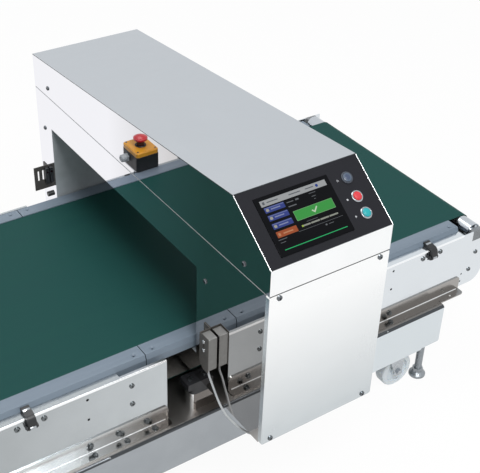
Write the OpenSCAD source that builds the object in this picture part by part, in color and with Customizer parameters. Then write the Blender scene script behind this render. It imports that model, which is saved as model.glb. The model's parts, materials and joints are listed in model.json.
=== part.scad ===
// Conveyor metal detector: a search head with a passage, a through belt
// conveyor on a wheeled base, an operator panel, an emergency stop and a
// product sensor. X runs along the belt, Y across it, Z up from the floor.

/* [Detector head] */
// Width of the head along the belt
head_w = 300; // [260:1:380]
// Depth of the head across the belt
head_d = 1030; // [980:1:1300]
// Depth of the leg on the operator side
near_leg_d = 256; // [230:1:300]
// Depth of the leg on the far side
far_leg_d = 79; // [70:1:110]
// Wall of the stainless case
case_t = 2.5; // [2:0.5:3]
// Wall of the plastic passage liner
liner_t = 4; // [3:0.5:6]
// Clear height of the passage over the belt
passage_h = 204; // [150:1:260]
// Height of the case over the passage
top_arm_h = 90; // [70:1:120]
// Height of the case below the passage
low_arm_h = 69; // [55:1:80]
// Height of the hood at the operator side
hood_h = 158; // [130:1:190]
// Fall of the hood towards the far side
hood_fall = 70; // [30:1:80]
// Height of the vertical lip below the panel
lip_h = 61; // [40:1:80]
// Run of the sloping panel across the head
panel_run = 133; // [120:1:160]
// Sheet of the hood
hood_t = 2; // [1.5:0.5:3]

/* [Operator panel] */
// Thickness of the panel fascia
fascia_t = 3; // [2:0.5:4]
// Width of the display glass
glass_w = 178; // [150:1:190]
// Height of the display glass
glass_h = 125; // [100:1:135]
// Outer diameter of a button collar
collar_d = 26; // [24:1:32]
// Diameter of a button plunger
button_d = 19; // [14:1:20]
// Travel of a button
button_travel = 2.5; // [1.5:0.5:4]

/* [Conveyor] */
// Height of the belt's top over the floor
belt_height = 438; // [430:1:520]
// Width of the belt
belt_w = 596; // [400:1:620]
// Thickness of the belt
belt_t = 2; // [1.5:0.5:3]
// Distance between the end rollers
roller_pitch = 1436; // [1200:1:1800]
// Diameter of the end rollers
roller_d = 50; // [40:1:54]
// Diameter of the snub rollers
snub_d = 40; // [30:1:44]
// Width of a side rail
rail_w = 40; // [30:1:50]
// Height of a side rail
rail_h = 29.5; // [25:0.5:34]
// Sheet of the side plates
plate_t = 3; // [2:0.5:4]
// Gap from a rail's outer side to the plate's outer face
plate_gap = 24.5; // [18:0.5:40]
// Bore of the roller bearings
bearing_bore = 15.1; // [12.1:1:18.1]

/* [Base] */
// Length of the base
base_l = 1190; // [1120:1:1400]
// Height of the base's top over the floor
base_top = 253; // [235:1:255]
// Height of the skirt's lower edge over the floor
base_bottom = 135; // [132:1:150]
// Sheet of the base
base_t = 3; // [2:0.5:4]
// Amount by which the base stands out past the side plates
base_out = 38; // [30:1:60]

/* [Casters and feet] */
// Diameter of a caster wheel
wheel_d = 100; // [80:1:100]
// Width of a caster wheel
wheel_w = 32; // [25:1:36]
// Offset of the wheel's axle from its swivel
caster_trail = 35; // [28:1:40]
// Distance of the swivels from the middle, along the belt
caster_x = 454; // [420:1:470]
// Diameter of a levelling foot's pad
foot_d = 46; // [36:1:54]
// Diameter of a levelling foot's screw
screw_d = 20; // [12:1:20]

/* [Emergency stop] */
// Size of the box along the belt
stop_w = 70; // [56:1:80]
// Size of the box across the belt
stop_l = 82; // [68:1:84]
// Height of the lower box
stop_h = 45; // [36:1:60]
// Diameter of the mushroom
mushroom_d = 40; // [30:1:50]

/* [Product sensor] */
// Height of the sensor bar
bar_h = 88; // [70:1:120]
// Diameter of the sensor cable
cable_d = 5; // [4:0.5:7]

/* [Hidden] */
$fn = 48;

// Clearances
run_gap = 0.05;
free_gap = 0.3;
seam_gap = 2;

// Head, from the belt's height
y_front = -head_d / 2;
y_back = head_d / 2;
x_side = head_w / 2;
rail_proud = 1.5;
rail_top = belt_height + rail_proud;
rail_bottom = rail_top - rail_h;
floor_gap = 6;
passage_floor = rail_bottom - floor_gap;
passage_top = belt_height + passage_h;
hole_z0 = passage_floor - liner_t;
hole_z1 = passage_top + liner_t;
head_bottom = passage_floor - low_arm_h;
seam_z = passage_top + top_arm_h;
passage_y0 = y_front + near_leg_d;
passage_y1 = y_back - far_leg_d;
hole_y0 = passage_y0 - liner_t;
hole_y1 = passage_y1 + liner_t;
cover_t = 3;
cover_return = 12;
cover_fit = 0.1;
rear_t = 1.5;
// Height of a button head as a share of its radius
screw_rise = 0.55;
cover_screw_r = 6;
side_screw_r = 5.5;
rear_screw_r = cover_screw_r - rear_t / screw_rise;
rim_w = 14;
// Shadow line between the case and the hood
line_h = 2.5;
line_in = 1;

// Hood and panel
lip_top = seam_z + lip_h;
hood_top = seam_z + hood_h;
hood_far = hood_top - hood_fall;
panel_angle = atan2(hood_h - lip_h, panel_run);
panel_len = norm([hood_h - lip_h, panel_run]);
glass_x = -28;
glass_s = panel_len / 2 - 2.5;
glass_t = 3;
fascia_margin = 1.5;
panel_buttons = [[102, 122], [103, 79], [104, 41]];

// Conveyor
belt_edge = belt_w / 2;
rail_in = belt_edge + 1;
rail_out = rail_in + rail_w;
rail_bevel = [4.5, 12];
plate_out = rail_out + plate_gap;
plate_in = plate_out - plate_t;
conveyor_y = passage_y0 + 14.5 + rail_out;
plate_x0 = 232;
plate_x1 = roller_pitch / 2 + 37;
plate_top = belt_height - 11;
plate_bottom = base_top + 5;
plate_corner = 37;
rail_x1 = roller_pitch / 2 - 50;
rail_seam = plate_x0 + 37;
bed_top = belt_height - belt_t;
bed_seam = plate_x0 + 18;
roller_x = roller_pitch / 2;
roller_z = bed_top - roller_d / 2;
snub_x = plate_x0 + 30;
snub_z = base_top + 49 + snub_d / 2;
notch_w = 34;
notch_z = roller_z - 13;
stub_r = bearing_bore / 2 - run_gap;
roller_half = plate_in - 15;
roller_r = roller_d / 2 - free_gap;
snub_r = snub_d / 2 - free_gap;
tie_z0 = rail_bottom - 25;
tie_x = [[plate_x0 + 4, plate_x0 + 24], [466, 496], [rail_x1 - 40, rail_x1 - 10]];
channel_x = [plate_x0 + 56, plate_x0 + 100];
channel_z0 = rail_bottom - 75;
rail_screw_v = rail_in + 23.5;
small_bearing_r = 17;
bearing_l = 12;

// Base
base_half = plate_out + base_out;
base_x = base_l / 2;
angle_w = 26;
angle_h = 42;
angle_x1 = plate_x0 + 443;
channel_plate_z = base_bottom - 4;
caster_y = base_half - 50;
foot_x = base_x - 27;
foot_y = base_half - 32;
nut_h = 14;
bolt_r = 6;

// Head supports
bar_w = 36;
bar_t = 35;
bar_foot_t = 17;
bar_foot_in = 9;
post_r = 13;
bar_z = head_bottom - bar_t;
bar_x = x_side + 33;
bar_y = [passage_y0 - 3, (passage_y1 + liner_t + y_back) / 2];
bar_bolt_x = x_side + 18;
bar_bolt_r = 3;

// Casters
axle_r = 6;
fork_t = 4;
fork_gap = 2;
crown_z = wheel_d + 3;
race_z = channel_plate_z - 14;
race_r = 29;
pin_r = 6;

// Emergency stop, on the far rail side of the infeed conveyor
stop_x = -424;
stop_y = conveyor_y + rail_out + 32;
stop_z = belt_height + 3;
stop_lid_h = 14;
neck_h = 19;
cap_h = 16;
mushroom_travel = 4;

// Product sensor
sensor_x0 = -x_side - 25;
sensor_y = passage_y0 - 72;
sensor_z0 = belt_height - 13;
sensor_w = 22;
sensor_l = 30;
reflector_y = y_back - 32;
bar_screws = [bar_h - 12, bar_h - 36];
gland_x = -x_side + 50;
gland_y = y_front + 63;

// Route of the sensor cable, from the bar's underside to the gland below the leg,
// for these places of the bar's near foot and of the gland
route_bar = [-175, -331, 434];
route_gland = [-100, -452, 335];
route = [
    [-164, -331, 429], [-164, -331, 424], [-164, -331, 418], [-164, -334, 408],
    [-164, -345, 394], [-163, -356, 377], [-162, -368, 360], [-160, -380, 345],
    [-158, -392, 334], [-155, -406, 327], [-150, -421, 321], [-143, -435, 314],
    [-133, -445, 306], [-121, -451, 300], [-109, -452, 300], [-102, -452, 305],
    [-100, -452, 312], [-100, -452, 317], [-100, -452, 323]];
// The three points at either end stay in line with the bar and with the gland
route_last = len(route) - 1;
bar_shift = [sensor_x0, sensor_y, sensor_z0] - route_bar;
gland_shift = [gland_x, gland_y, head_bottom] - route_gland;
function gland_share(k) = min(1, max(0, (k - 2) / (route_last - 4)));
cable_route = [for (k = [0:route_last])
    route[k] + (1 - gland_share(k)) * bar_shift + gland_share(k) * gland_shift];

cover_holes = [for (x = [-1, 1]) for (z = [head_bottom + 9, seam_z - 11]) [x * (x_side - 24), z]];
rear_holes = [for (x = [-1, 1]) for (z = [head_bottom + 30, seam_z - 20]) [x * (x_side - 30), z]];
side_holes = [[y_front + 87, seam_z + 25], [y_back - 77, seam_z + 25]];
leg_holes = [[y_front + 223, seam_z - 106], [y_back - 40, seam_z - 104]];
plate_holes = [[426, 409], [426, 352], [681, 299], [681, 275]];
tie_bolts = [[320, rail_bottom - 14], [320, rail_bottom - 67]];
end_bolts = [[722, 357], [707, 305]];
angle_bolts = [288, 359, 428];
angle_feet = [274, 345, 425];
// Free holes in the angles' upright legs and in their feet
angle_free_x = [612];
angle_free_foot_x = [634];
latch_x = 555;
latch_w = 19;
latch_pin_v = plate_out + 7.5;
latch_pin_z = plate_top - 20;
latch_pin_r = 2;
latch_boss_r = 5.2;

// A box between two values on each axis
module block(x0, x1, y0, y1, z0, z1) {
    translate([x0, y0, z0]) cube([x1 - x0, y1 - y0, z1 - z0]);
}

// Round bars along each axis
module rod_x(x0, x1, y, z, r) {
    translate([x0, y, z]) rotate([0, 90, 0]) cylinder(h = x1 - x0, r = r);
}

module rod_y(x, y0, y1, z, r) {
    translate([x, y1, z]) rotate([90, 0, 0]) cylinder(h = y1 - y0, r = r);
}

module rod_z(x, y, z0, z1, r) {
    translate([x, y, z0]) cylinder(h = z1 - z0, r = r);
}

// A profile in X and Z, drawn out along Y, and one in Y and Z, drawn out along X
module extrude_y(y0, y1) {
    translate([0, y1, 0]) rotate([90, 0, 0]) linear_extrude(y1 - y0) children();
}

module extrude_x(x0, x1) {
    translate([x0, 0, 0]) rotate([90, 0, 90]) linear_extrude(x1 - x0) children();
}

// A rectangle with round corners
module round_rect(x0, x1, y0, y1, r) {
    translate([x0 + r, y0]) square([x1 - x0 - 2 * r, y1 - y0]);
    translate([x0, y0 + r]) square([x1 - x0, y1 - y0 - 2 * r]);
    for (x = [x0 + r, x1 - r])
        for (y = [y0 + r, y1 - r]) translate([x, y]) circle(r = r);
}

// A button head with a hexagon socket, and its shank, along +Z from a face
module button_screw(r, shank_r, shank) {
    difference() {
        union() {
            cylinder(h = r * 0.3, r = r);
            translate([0, 0, r * 0.3]) cylinder(h = r * (screw_rise - 0.3), r1 = r, r2 = r * 0.7);
        }
        translate([0, 0, r * 0.2]) cylinder(h = r, r = r * 0.4, $fn = 6);
    }
    translate([0, 0, -shank]) cylinder(h = shank + r * 0.1, r = shank_r);
}

// Places children at both ends of the conveyor, on the near and the far side.
// Their own X points to the end and their own Y points outwards from the belt.
module four_corners() {
    for (side = [-1, 1])
        for (end = [-1, 1]) corner(end, side) children();
}

module corner(end, side) {
    translate([0, conveyor_y, 0]) mirror([end < 0 ? 1 : 0, 0, 0])
        mirror([0, side < 0 ? 1 : 0, 0]) children();
}

// Places children on the panel: X across, Y up the slope, Z out of it
module on_panel() {
    translate([0, y_front, lip_top]) rotate([panel_angle, 0, 0]) children();
}

// ---------------------------------------------------------------- head

// The hood's profile from the operator's side to the far side. The panel's
// face lies deeper than the rest by the fascia that is laid into it.
module hood_outline(wall, panel_depth, foot) {
    fall = hood_fall / (head_d - panel_run);
    rise = tan(panel_angle);
    drop = panel_depth / cos(panel_angle);
    top_drop = wall * norm([1, fall]);
    ridge = (drop - top_drop) / (rise + fall);
    polygon([
        [y_front + wall, seam_z - foot],
        [y_front + wall, lip_top + wall * rise - drop],
        [y_front + panel_run + ridge, hood_top - fall * ridge - top_drop],
        [y_back - wall, hood_far + fall * wall - top_drop],
        [y_back - wall, seam_z - foot]]);
}

module hood() {
    color("#c9cdd2") difference() {
        extrude_x(-x_side, x_side) hood_outline(0, 0, 0);
        extrude_x(-x_side + hood_t, x_side - hood_t) hood_outline(hood_t, fascia_t + hood_t, 1);
        on_panel() {
            block(-x_side + hood_t, x_side - hood_t, fascia_margin, panel_len - fascia_margin,
                -fascia_t, 20);
            block(-x_side + 12, x_side - 12, 12, panel_len - 12, -20, 20);
        }
        for (h = side_holes) rod_x(-x_side - 1, x_side + 1, h[0], h[1], 2.6);
    }
}

module case_ring(inset) {
    difference() {
        translate([y_front + cover_t + inset, head_bottom + inset])
            square([head_d - cover_t - 2 * inset, seam_z - head_bottom - 2 * inset]);
        translate([hole_y0 - inset, hole_z0 - inset])
            square([hole_y1 - hole_y0 + 2 * inset, hole_z1 - hole_z0 + 2 * inset]);
    }
}

module head_case() {
    color("#dfe3e8") difference() {
        extrude_x(-x_side, x_side) case_ring(0);
        extrude_x(-x_side + case_t, x_side - case_t) case_ring(case_t);
        // The near leg is open behind its cover, and the top under the hood
        block(-x_side + rim_w, x_side - rim_w, y_front, y_front + 20, head_bottom + rim_w, seam_z - rim_w);
        block(-x_side + rim_w, x_side - rim_w, y_front + 30, y_back - 30, seam_z - 20, seam_z + 1);
        block(-x_side + rim_w, x_side - rim_w, y_back - 20, y_back + 1, head_bottom + 40, seam_z - 30);
        // Step that takes the folded edges of the front cover
        difference() {
            block(-x_side - 1, x_side + 1, y_front, y_front + cover_return, head_bottom - 1, seam_z + 1);
            extrude_y(y_front, y_front + 20)
                round_rect(-x_side + 2 + cover_fit, x_side - 2 - cover_fit, head_bottom + 2 + cover_fit,
                    seam_z - 3 - cover_fit, 4);
        }
        difference() {
            block(-x_side - 1, x_side + 1, y_front, y_back + 1, seam_z - line_h, seam_z + 1);
            block(-x_side + line_in, x_side - line_in, y_front - 1, y_back - line_in, seam_z - 3,
                seam_z + 2);
        }
        for (h = cover_holes) rod_y(h[0], y_front, y_front + 12, h[1], 2.5);
        for (h = rear_holes) rod_y(h[0], y_back - 12, y_back + 1, h[1], 1.6);
        for (h = leg_holes) rod_x(-x_side - 1, x_side + 1, h[0], h[1], 2.5);
        rod_z(gland_x, gland_y, head_bottom - 1, head_bottom + 10, 6);
        rod_z(-gland_x, gland_y, head_bottom - 1, head_bottom + 10, 6);
    }
}

module front_cover() {
    color("#eceff3") difference() {
        extrude_y(y_front, y_front + cover_return)
            round_rect(-x_side, x_side, head_bottom, seam_z - 1, 6);
        extrude_y(y_front + cover_t, y_front + cover_return + 1)
            round_rect(-x_side + 2, x_side - 2, head_bottom + 2, seam_z - 3, 4);
        for (h = cover_holes) rod_y(h[0], y_front - 1, y_front + 5, h[1], 2.6);
    }
}

module rear_cover() {
    color("#dfe3e8") difference() {
        extrude_y(y_back, y_back + rear_t)
            round_rect(-x_side + 20, x_side - 20, head_bottom + 20, seam_z - 10, 8);
        for (h = rear_holes) rod_y(h[0], y_back - 1, y_back + 3, h[1], 1.6);
    }
}

module aperture_liner() {
    color("#8f969b") extrude_x(-x_side, x_side) difference() {
        translate([hole_y0, hole_z0]) square([hole_y1 - hole_y0, hole_z1 - hole_z0]);
        translate([passage_y0, passage_floor])
            square([passage_y1 - passage_y0, passage_top - passage_floor]);
    }
}

module search_coils() {
    // One transmitting loop between two receiving loops, wound round the passage
    coil_t = 12;
    wall = case_t;
    color("#b4641e") for (x = [-75, 0, 75])
        extrude_x(x - 9, x + 9) difference() {
            translate([hole_y0 - wall - coil_t, hole_z0 - wall - coil_t])
                square([hole_y1 - hole_y0 + 2 * (wall + coil_t), hole_z1 - hole_z0 + 2 * (wall + coil_t)]);
            translate([hole_y0 - wall, hole_z0 - wall])
                square([hole_y1 - hole_y0 + 2 * wall, hole_z1 - hole_z0 + 2 * wall]);
        }
}

chassis_y = hole_y0 - 40;

module control_chassis() {
    color("#aeb4b8") difference() {
        block(-x_side + case_t, x_side - case_t, chassis_y, chassis_y + 2, head_bottom + case_t,
            seam_z - 40);
        for (z = [head_bottom + 60, seam_z - 90])
            for (x = [-90, 90]) rod_y(x, chassis_y - 1, chassis_y + 3, z, 12);
    }
}

module power_supply() {
    color("#9aa0a4") difference() {
        block(-118, -28, chassis_y - 42, chassis_y, head_bottom + 60, head_bottom + 220);
        for (k = [0:7])
            block(-112, -34, chassis_y - 43, chassis_y - 38, head_bottom + 76 + 17 * k,
                head_bottom + 82 + 17 * k);
    }
}

module control_board() {
    board_z = head_bottom + 70;
    color("#2f6b46") {
        block(-10, 118, chassis_y - 12, chassis_y - 10.4, board_z, board_z + 190);
        for (x = [-4, 112]) for (z = [board_z + 6, board_z + 184])
            rod_y(x, chassis_y - 10.4, chassis_y, z, 3);
        for (k = [0:3])
            block(8 + 26 * k, 26 + 26 * k, chassis_y - 18, chassis_y - 12, board_z + 30, board_z + 48);
        block(20, 90, chassis_y - 24, chassis_y - 12, board_z + 110, board_z + 150);
    }
}

// ---------------------------------------------------------------- panel

module panel_fascia() {
    m = hood_t + free_gap;
    color("#2f3036") on_panel() difference() {
        translate([0, 0, -fascia_t]) linear_extrude(fascia_t)
            round_rect(-x_side + m, x_side - m, fascia_margin + free_gap,
                panel_len - fascia_margin - free_gap, 2);
        translate([glass_x - glass_w / 2, glass_s - glass_h / 2, -glass_t + 1.5])
            cube([glass_w, glass_h, 5]);
        translate([glass_x - glass_w / 2 + 8, glass_s - glass_h / 2 + 8, -9])
            cube([glass_w - 16, glass_h - 16, 12]);
        for (b = panel_buttons) translate([b[0], b[1], -9]) cylinder(h = 12, r = button_d / 2 + 1.6);
    }
}

module display_glass() {
    g = 0.1;
    color("#14161c") on_panel() translate([0, 0, -glass_t + 1.5]) linear_extrude(glass_t)
        round_rect(glass_x - glass_w / 2 + g, glass_x + glass_w / 2 - g, glass_s - glass_h / 2 + g,
            glass_s + glass_h / 2 - g, 2);
}

module display_module() {
    color("#3a3d42") on_panel() difference() {
        translate([glass_x - glass_w / 2 + 2, glass_s - glass_h / 2 + 6, -fascia_t - 22])
            cube([glass_w - 4, glass_h - 12, 22]);
        translate([glass_x - glass_w / 2 + 14, glass_s - glass_h / 2 + 14, -fascia_t - 4])
            cube([glass_w - 28, glass_h - 28, 5]);
    }
}

module button_collars() {
    color("#c4c8cc") on_panel() for (b = panel_buttons) translate([b[0], b[1], 0]) {
        difference() {
            union() {
                cylinder(h = 2, r = collar_d / 2);
                translate([0, 0, 2]) cylinder(h = 1, r1 = collar_d / 2, r2 = collar_d / 2 - 1);
                translate([0, 0, -18]) cylinder(h = 18.5, r = button_d / 2 + 1.5);
                translate([-10, -10, -34]) cube([20, 20, 16]);
            }
            translate([0, 0, -19 + 3]) cylinder(h = 30, r = button_d / 2 + free_gap);
        }
    }
}

module plunger(k, dome) {
    rest_gap = button_travel + free_gap;
    on_panel() translate([panel_buttons[k][0], panel_buttons[k][1], 0]) {
        translate([0, 0, -16 + rest_gap]) cylinder(h = 19.5 - rest_gap, r = button_d / 2);
        translate([0, 0, 3.5]) cylinder(h = dome, r1 = button_d / 2, r2 = button_d / 2 - 1.5);
    }
}

module power_button() color("#5d7184") plunger(0, 0.8);
module stop_button() color("#d33034") plunger(1, 1.5);
module start_button() color("#12a0a6") plunger(2, 1.5);

module cover_screws() {
    color("#3c4044") {
        for (h = cover_holes) translate([h[0], y_front, h[1]]) rotate([90, 0, 0])
            button_screw(cover_screw_r, 2.45, 10);
        for (h = rear_holes) translate([h[0], y_back + rear_t, h[1]]) rotate([-90, 0, 0])
            button_screw(rear_screw_r, 1.5, 8);
        for (h = concat(side_holes, leg_holes)) for (s = [-1, 1])
            translate([s * x_side, h[0], h[1]]) rotate([0, 90 * s, 0])
                button_screw(side_screw_r, 2.45, 8);
    }
}

module gland(r, h) {
    cylinder(h = 5, r = r, $fn = 6);
    translate([0, 0, 5]) cylinder(h = h - 8, r = r * 0.82);
    translate([0, 0, h - 3]) cylinder(h = 3, r1 = r * 0.82, r2 = r * 0.55);
}

module cable_glands() {
    color("#4a4e52") {
        translate([gland_x, gland_y, head_bottom]) rotate([180, 0, 0]) difference() {
            union() {
                gland(11, 18);
                translate([0, 0, -6]) cylinder(h = 7, r = 5.9);
            }
            translate([0, 0, 12]) cylinder(h = 10, r = cable_d / 2 + 0.1);
        }
        translate([-gland_x, gland_y, head_bottom]) rotate([180, 0, 0]) {
            gland(11, 18);
            translate([0, 0, -6]) cylinder(h = 7, r = 5.9);
        }
        translate([stop_x + stop_w / 2, stop_y + 14, stop_z + 24]) rotate([0, 90, 0]) gland(13, 22);
    }
}

// ---------------------------------------------------------------- sensor

module sensor_brackets() {
    t = 2;
    z1 = sensor_z0 + bar_h + 3;
    yn = sensor_y - sensor_l / 2 - 1;
    yf = sensor_y + sensor_l / 2;
    color("#4b5052") {
        // Near bracket: a plate beside the bar, a web behind it and a foot on the case
        difference() {
            union() {
                extrude_x(sensor_x0 - t, sensor_x0) polygon([
                    [yn, sensor_z0 - 3], [yf - 12, sensor_z0 - 3], [yf + t, sensor_z0 + 12],
                    [yf + t, z1], [yn, z1]]);
                block(sensor_x0, -x_side, yf, yf + t, sensor_z0 + 12, z1);
                block(-x_side - t, -x_side, yf + t, yf + 24, sensor_z0 + 12, z1);
            }
            for (z = [sensor_z0 + 30, z1 - 14]) rod_x(-x_side - 5, -x_side + 1, yf + 14, z, 2.6);
            for (z = bar_screws) rod_x(sensor_x0 - 5, sensor_x0 + 1, sensor_y, sensor_z0 + z, 2.2);
            block(sensor_x0 - 5, sensor_x0 + 1, sensor_y - 1.5, sensor_y + 1.5, z1 - 32, z1 - 21);
        }
        // Far bracket: a slotted plate that stands out from the case, with its foot
        difference() {
            union() {
                block(-x_side - 39, -x_side, reflector_y, reflector_y + t, belt_height + 4,
                    belt_height + 74);
                block(-x_side - t, -x_side, reflector_y + t, reflector_y + 22, belt_height + 4,
                    belt_height + 74);
            }
            for (x = [27, 14]) extrude_y(reflector_y - 1, reflector_y + t + 1)
                round_rect(-x_side - x - 2.2, -x_side - x + 2.2, belt_height + 32, belt_height + 62, 2);
            for (z = [20, 58]) rod_x(-x_side - 5, -x_side + 1, reflector_y + 13, belt_height + z, 2.6);
        }
    }
    color("#2c2e30") {
        for (z = [sensor_z0 + 30, z1 - 14]) translate([-x_side - t, yf + 14, z])
            rotate([0, -90, 0]) button_screw(4, 2.5, t);
        for (z = [20, 58]) translate([-x_side - t, reflector_y + 13, belt_height + z])
            rotate([0, -90, 0]) button_screw(4, 2.5, t);
    }
}

module sensor_bar() {
    color("#a9adb0") {
        difference() {
            extrude_x(sensor_x0, sensor_x0 + sensor_w) translate([sensor_y, 0])
                round_rect(-sensor_l / 2, sensor_l / 2, sensor_z0, sensor_z0 + bar_h, 1.5);
            block(sensor_x0 + 8, sensor_x0 + 16, sensor_y + sensor_l / 2 - 1, sensor_y + sensor_l,
                sensor_z0 + 10, sensor_z0 + 11);
        }
        rod_z(cable_route[0][0], cable_route[0][1], sensor_z0 - 5, sensor_z0 + 1, cable_d / 2 + 1.2);
        for (z = bar_screws) translate([sensor_x0 - 2, sensor_y, sensor_z0 + z])
            rotate([0, -90, 0]) button_screw(4.5, 2, 3);
    }
}

module reflector() {
    color("#232527") {
        // Receiver block on the slotted plate, and the knob of its clamp below
        difference() {
            extrude_y(reflector_y - 12, reflector_y)
                round_rect(-x_side - 11, -x_side - 1, belt_height + 24, belt_height + 70, 3);
            rod_y(-x_side - 6, reflector_y - 13, reflector_y - 10, belt_height + 58, 3);
        }
        rod_x(-x_side - 9, -x_side, reflector_y - 8, belt_height - 11, 7);
    }
}

function unit(v) = v / norm(v);
function bend(p, k, t) = let (
        a = p[max(k - 1, 0)], b = p[k], c = p[k + 1], d = p[min(k + 2, len(p) - 1)],
        m0 = (c - a) / 2, m1 = (d - b) / 2)
    (2 * t * t * t - 3 * t * t + 1) * b + (t * t * t - 2 * t * t + t) * m0
        + (3 * t * t - 2 * t * t * t) * c + (t * t * t - t * t) * m1;
function smooth(p, n) = [for (k = [0:len(p) - 2]) for (j = [0:n - 1]) bend(p, k, j / n), p[len(p) - 1]];
function along(p, k) = unit(p[min(k + 1, len(p) - 1)] - p[max(k - 1, 0)]);
// One side direction of each ring, kept square to the route and free of twist
function sides(p, k, s) = let (d = along(p, k), u = unit(s - (s * d) * d))
    k == len(p) - 1 ? [u] : concat([u], sides(p, k + 1, u));

module tube(p, r, n) {
    u = sides(p, 0, [1, 0, 0]);
    rings = len(p);
    points = [for (k = [0:rings - 1]) let (v = cross(along(p, k), u[k])) for (j = [0:n - 1])
        p[k] + r * (cos(360 * j / n) * u[k] + sin(360 * j / n) * v)];
    walls = [for (k = [0:rings - 2]) for (j = [0:n - 1])
        [k * n + j, k * n + (j + 1) % n, (k + 1) * n + (j + 1) % n, (k + 1) * n + j]];
    first = [[for (j = [n - 1:-1:0]) j]];
    last = [[for (j = [0:n - 1]) (rings - 1) * n + j]];
    faces = [for (f = concat(walls, first, last)) [for (j = [len(f) - 1:-1:0]) f[j]]];
    polyhedron(points = points, faces = faces, convexity = 6);
}

module sensor_cable() color("#b9bdbf") tube(smooth(cable_route, 2), cable_d / 2, 10);

// ---------------------------------------------------------------- conveyor

// The rounded fold at the top of a side plate, from its outer corner inwards
module fold(w, t, r) {
    intersection() {
        difference() {
            translate([r, -r]) circle(r = r);
            translate([r, -r]) circle(r = r - t);
        }
        translate([0, -r]) square([r, r]);
    }
    translate([r, -t]) square([w - r, t]);
}

module plate_outline() {
    r = plate_corner;
    difference() {
        union() {
            translate([plate_x0, plate_bottom]) square([rail_x1 - plate_x0, plate_top - 4 - plate_bottom]);
            translate([rail_x1 - 1, plate_bottom]) square([plate_x1 - r - rail_x1 + 1, 2 * r]);
            translate([rail_x1 - 1, plate_bottom + r])
                square([plate_x1 - rail_x1 + 1, plate_top - plate_bottom - r]);
            translate([plate_x1 - r, plate_bottom + r]) circle(r = r);
        }
        translate([roller_x - notch_w / 2, notch_z]) square([notch_w, 100]);
        for (h = plate_holes) translate(h) circle(r = 3.3);
        for (h = concat(tie_bolts, end_bolts)) translate(h) circle(r = 3.1);
        for (x = concat(angle_bolts, angle_free_x)) translate([x, base_top + 23]) circle(r = 3.1);
    }
}

module side_plates() {
    color("#cfd3d7") four_corners() {
        extrude_y(plate_in, plate_out) plate_outline();
        mirror([0, 1, 0]) {
            extrude_x(plate_x0, rail_x1) translate([-plate_out, plate_top]) fold(10, plate_t, 4);
            block(plate_x0 + 113, rail_x1, -plate_out + 6, -rail_out - 1, plate_top - plate_t, plate_top);
        }
    }
}

module cross_ties() {
    color("#c2c6ca") for (end = [-1, 1]) corner(end, 1) {
        for (x = tie_x) difference() {
            block(x[0], x[1], -plate_in, plate_in, tie_z0, rail_bottom);
            block(x[0] + 2, x[1] - 2, -plate_in - 1, plate_in + 1, tie_z0 + 2, rail_bottom - 2);
        }
        // Channel with end tabs that the plates are bolted to
        difference() {
            block(channel_x[0], channel_x[1], -plate_in, plate_in, channel_z0, rail_bottom);
            block(channel_x[0] - 1, channel_x[1] - 3, -plate_in + 3, plate_in - 3, channel_z0 - 1,
                rail_bottom - 3);
            // Bend reliefs, where the top flange ends short of the tabs
            for (s = [-1, 1])
                block(channel_x[0] - 1, channel_x[1] - 3, s * (plate_in - 6) - 3, s * (plate_in - 6) + 3,
                    rail_bottom - 4, rail_bottom + 1);
            for (s = [-1, 1]) for (h = tie_bolts)
                rod_y(h[0], s * plate_in - 5, s * plate_in + 5, h[1], 3.1);
            for (s = [-1, 1])
                rod_z(rail_seam + 23, s * rail_screw_v, rail_bottom - 10, rail_bottom + 1, 2.6);
        }
    }
}

module rail_profile() {
    polygon([[rail_in, rail_bottom], [rail_out, rail_bottom], [rail_out, rail_top - rail_bevel[1]],
        [rail_out - rail_bevel[0], rail_top], [rail_in, rail_top]]);
}

module rail(x0, x1, screws) {
    difference() {
        extrude_x(x0, x1) rail_profile();
        for (x = screws) {
            rod_z(x, rail_screw_v, rail_bottom - 1, rail_top + 1, 2.6);
            translate([x, rail_screw_v, rail_top - 3]) cylinder(h = 3.01, r1 = 2.6, r2 = 6);
        }
    }
}

module side_rails() {
    color("#93a3b5") {
        four_corners() rail(rail_seam + seam_gap / 2, rail_x1, [rail_seam + 23, rail_x1 - 20]);
        for (side = [-1, 1]) corner(1, side)
            rail(-rail_seam + seam_gap / 2, rail_seam - seam_gap / 2, [-rail_seam + 24, rail_seam - 24]);
    }
}

module end_beds() {
    t = 3;
    w = belt_edge - 4;
    color("#c6cace") for (end = [-1, 1]) corner(end, 1) {
        difference() {
            extrude_x(bed_seam + 0.5, rail_x1) union() {
                translate([-w, bed_top - t]) square([2 * w, t]);
                for (y = [-w, w - t]) translate([y, rail_bottom]) square([t, bed_top - rail_bottom]);
            }
        }
    }
}

// A slab with slanting lead-in edges where the belt runs on and off
module tunnel_bed() {
    w = belt_edge - 3;
    color("#dcdcd4") extrude_y(conveyor_y - w, conveyor_y + w) polygon([
        [-bed_seam, rail_bottom], [bed_seam, rail_bottom], [bed_seam, bed_top - 1.5],
        [bed_seam - 6, bed_top], [-bed_seam + 6, bed_top], [-bed_seam, bed_top - 1.5]]);
}

module belt_path(grow) {
    hull() {
        for (s = [-1, 1]) {
            translate([s * roller_x, roller_z]) circle(r = roller_d / 2 + grow, $fn = 96);
            translate([s * snub_x, snub_z]) circle(r = snub_d / 2 + grow, $fn = 96);
        }
    }
}

module belt() {
    color("#2b5a50") extrude_y(conveyor_y - belt_edge, conveyor_y + belt_edge) difference() {
        belt_path(belt_t);
        belt_path(0);
    }
}

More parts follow.
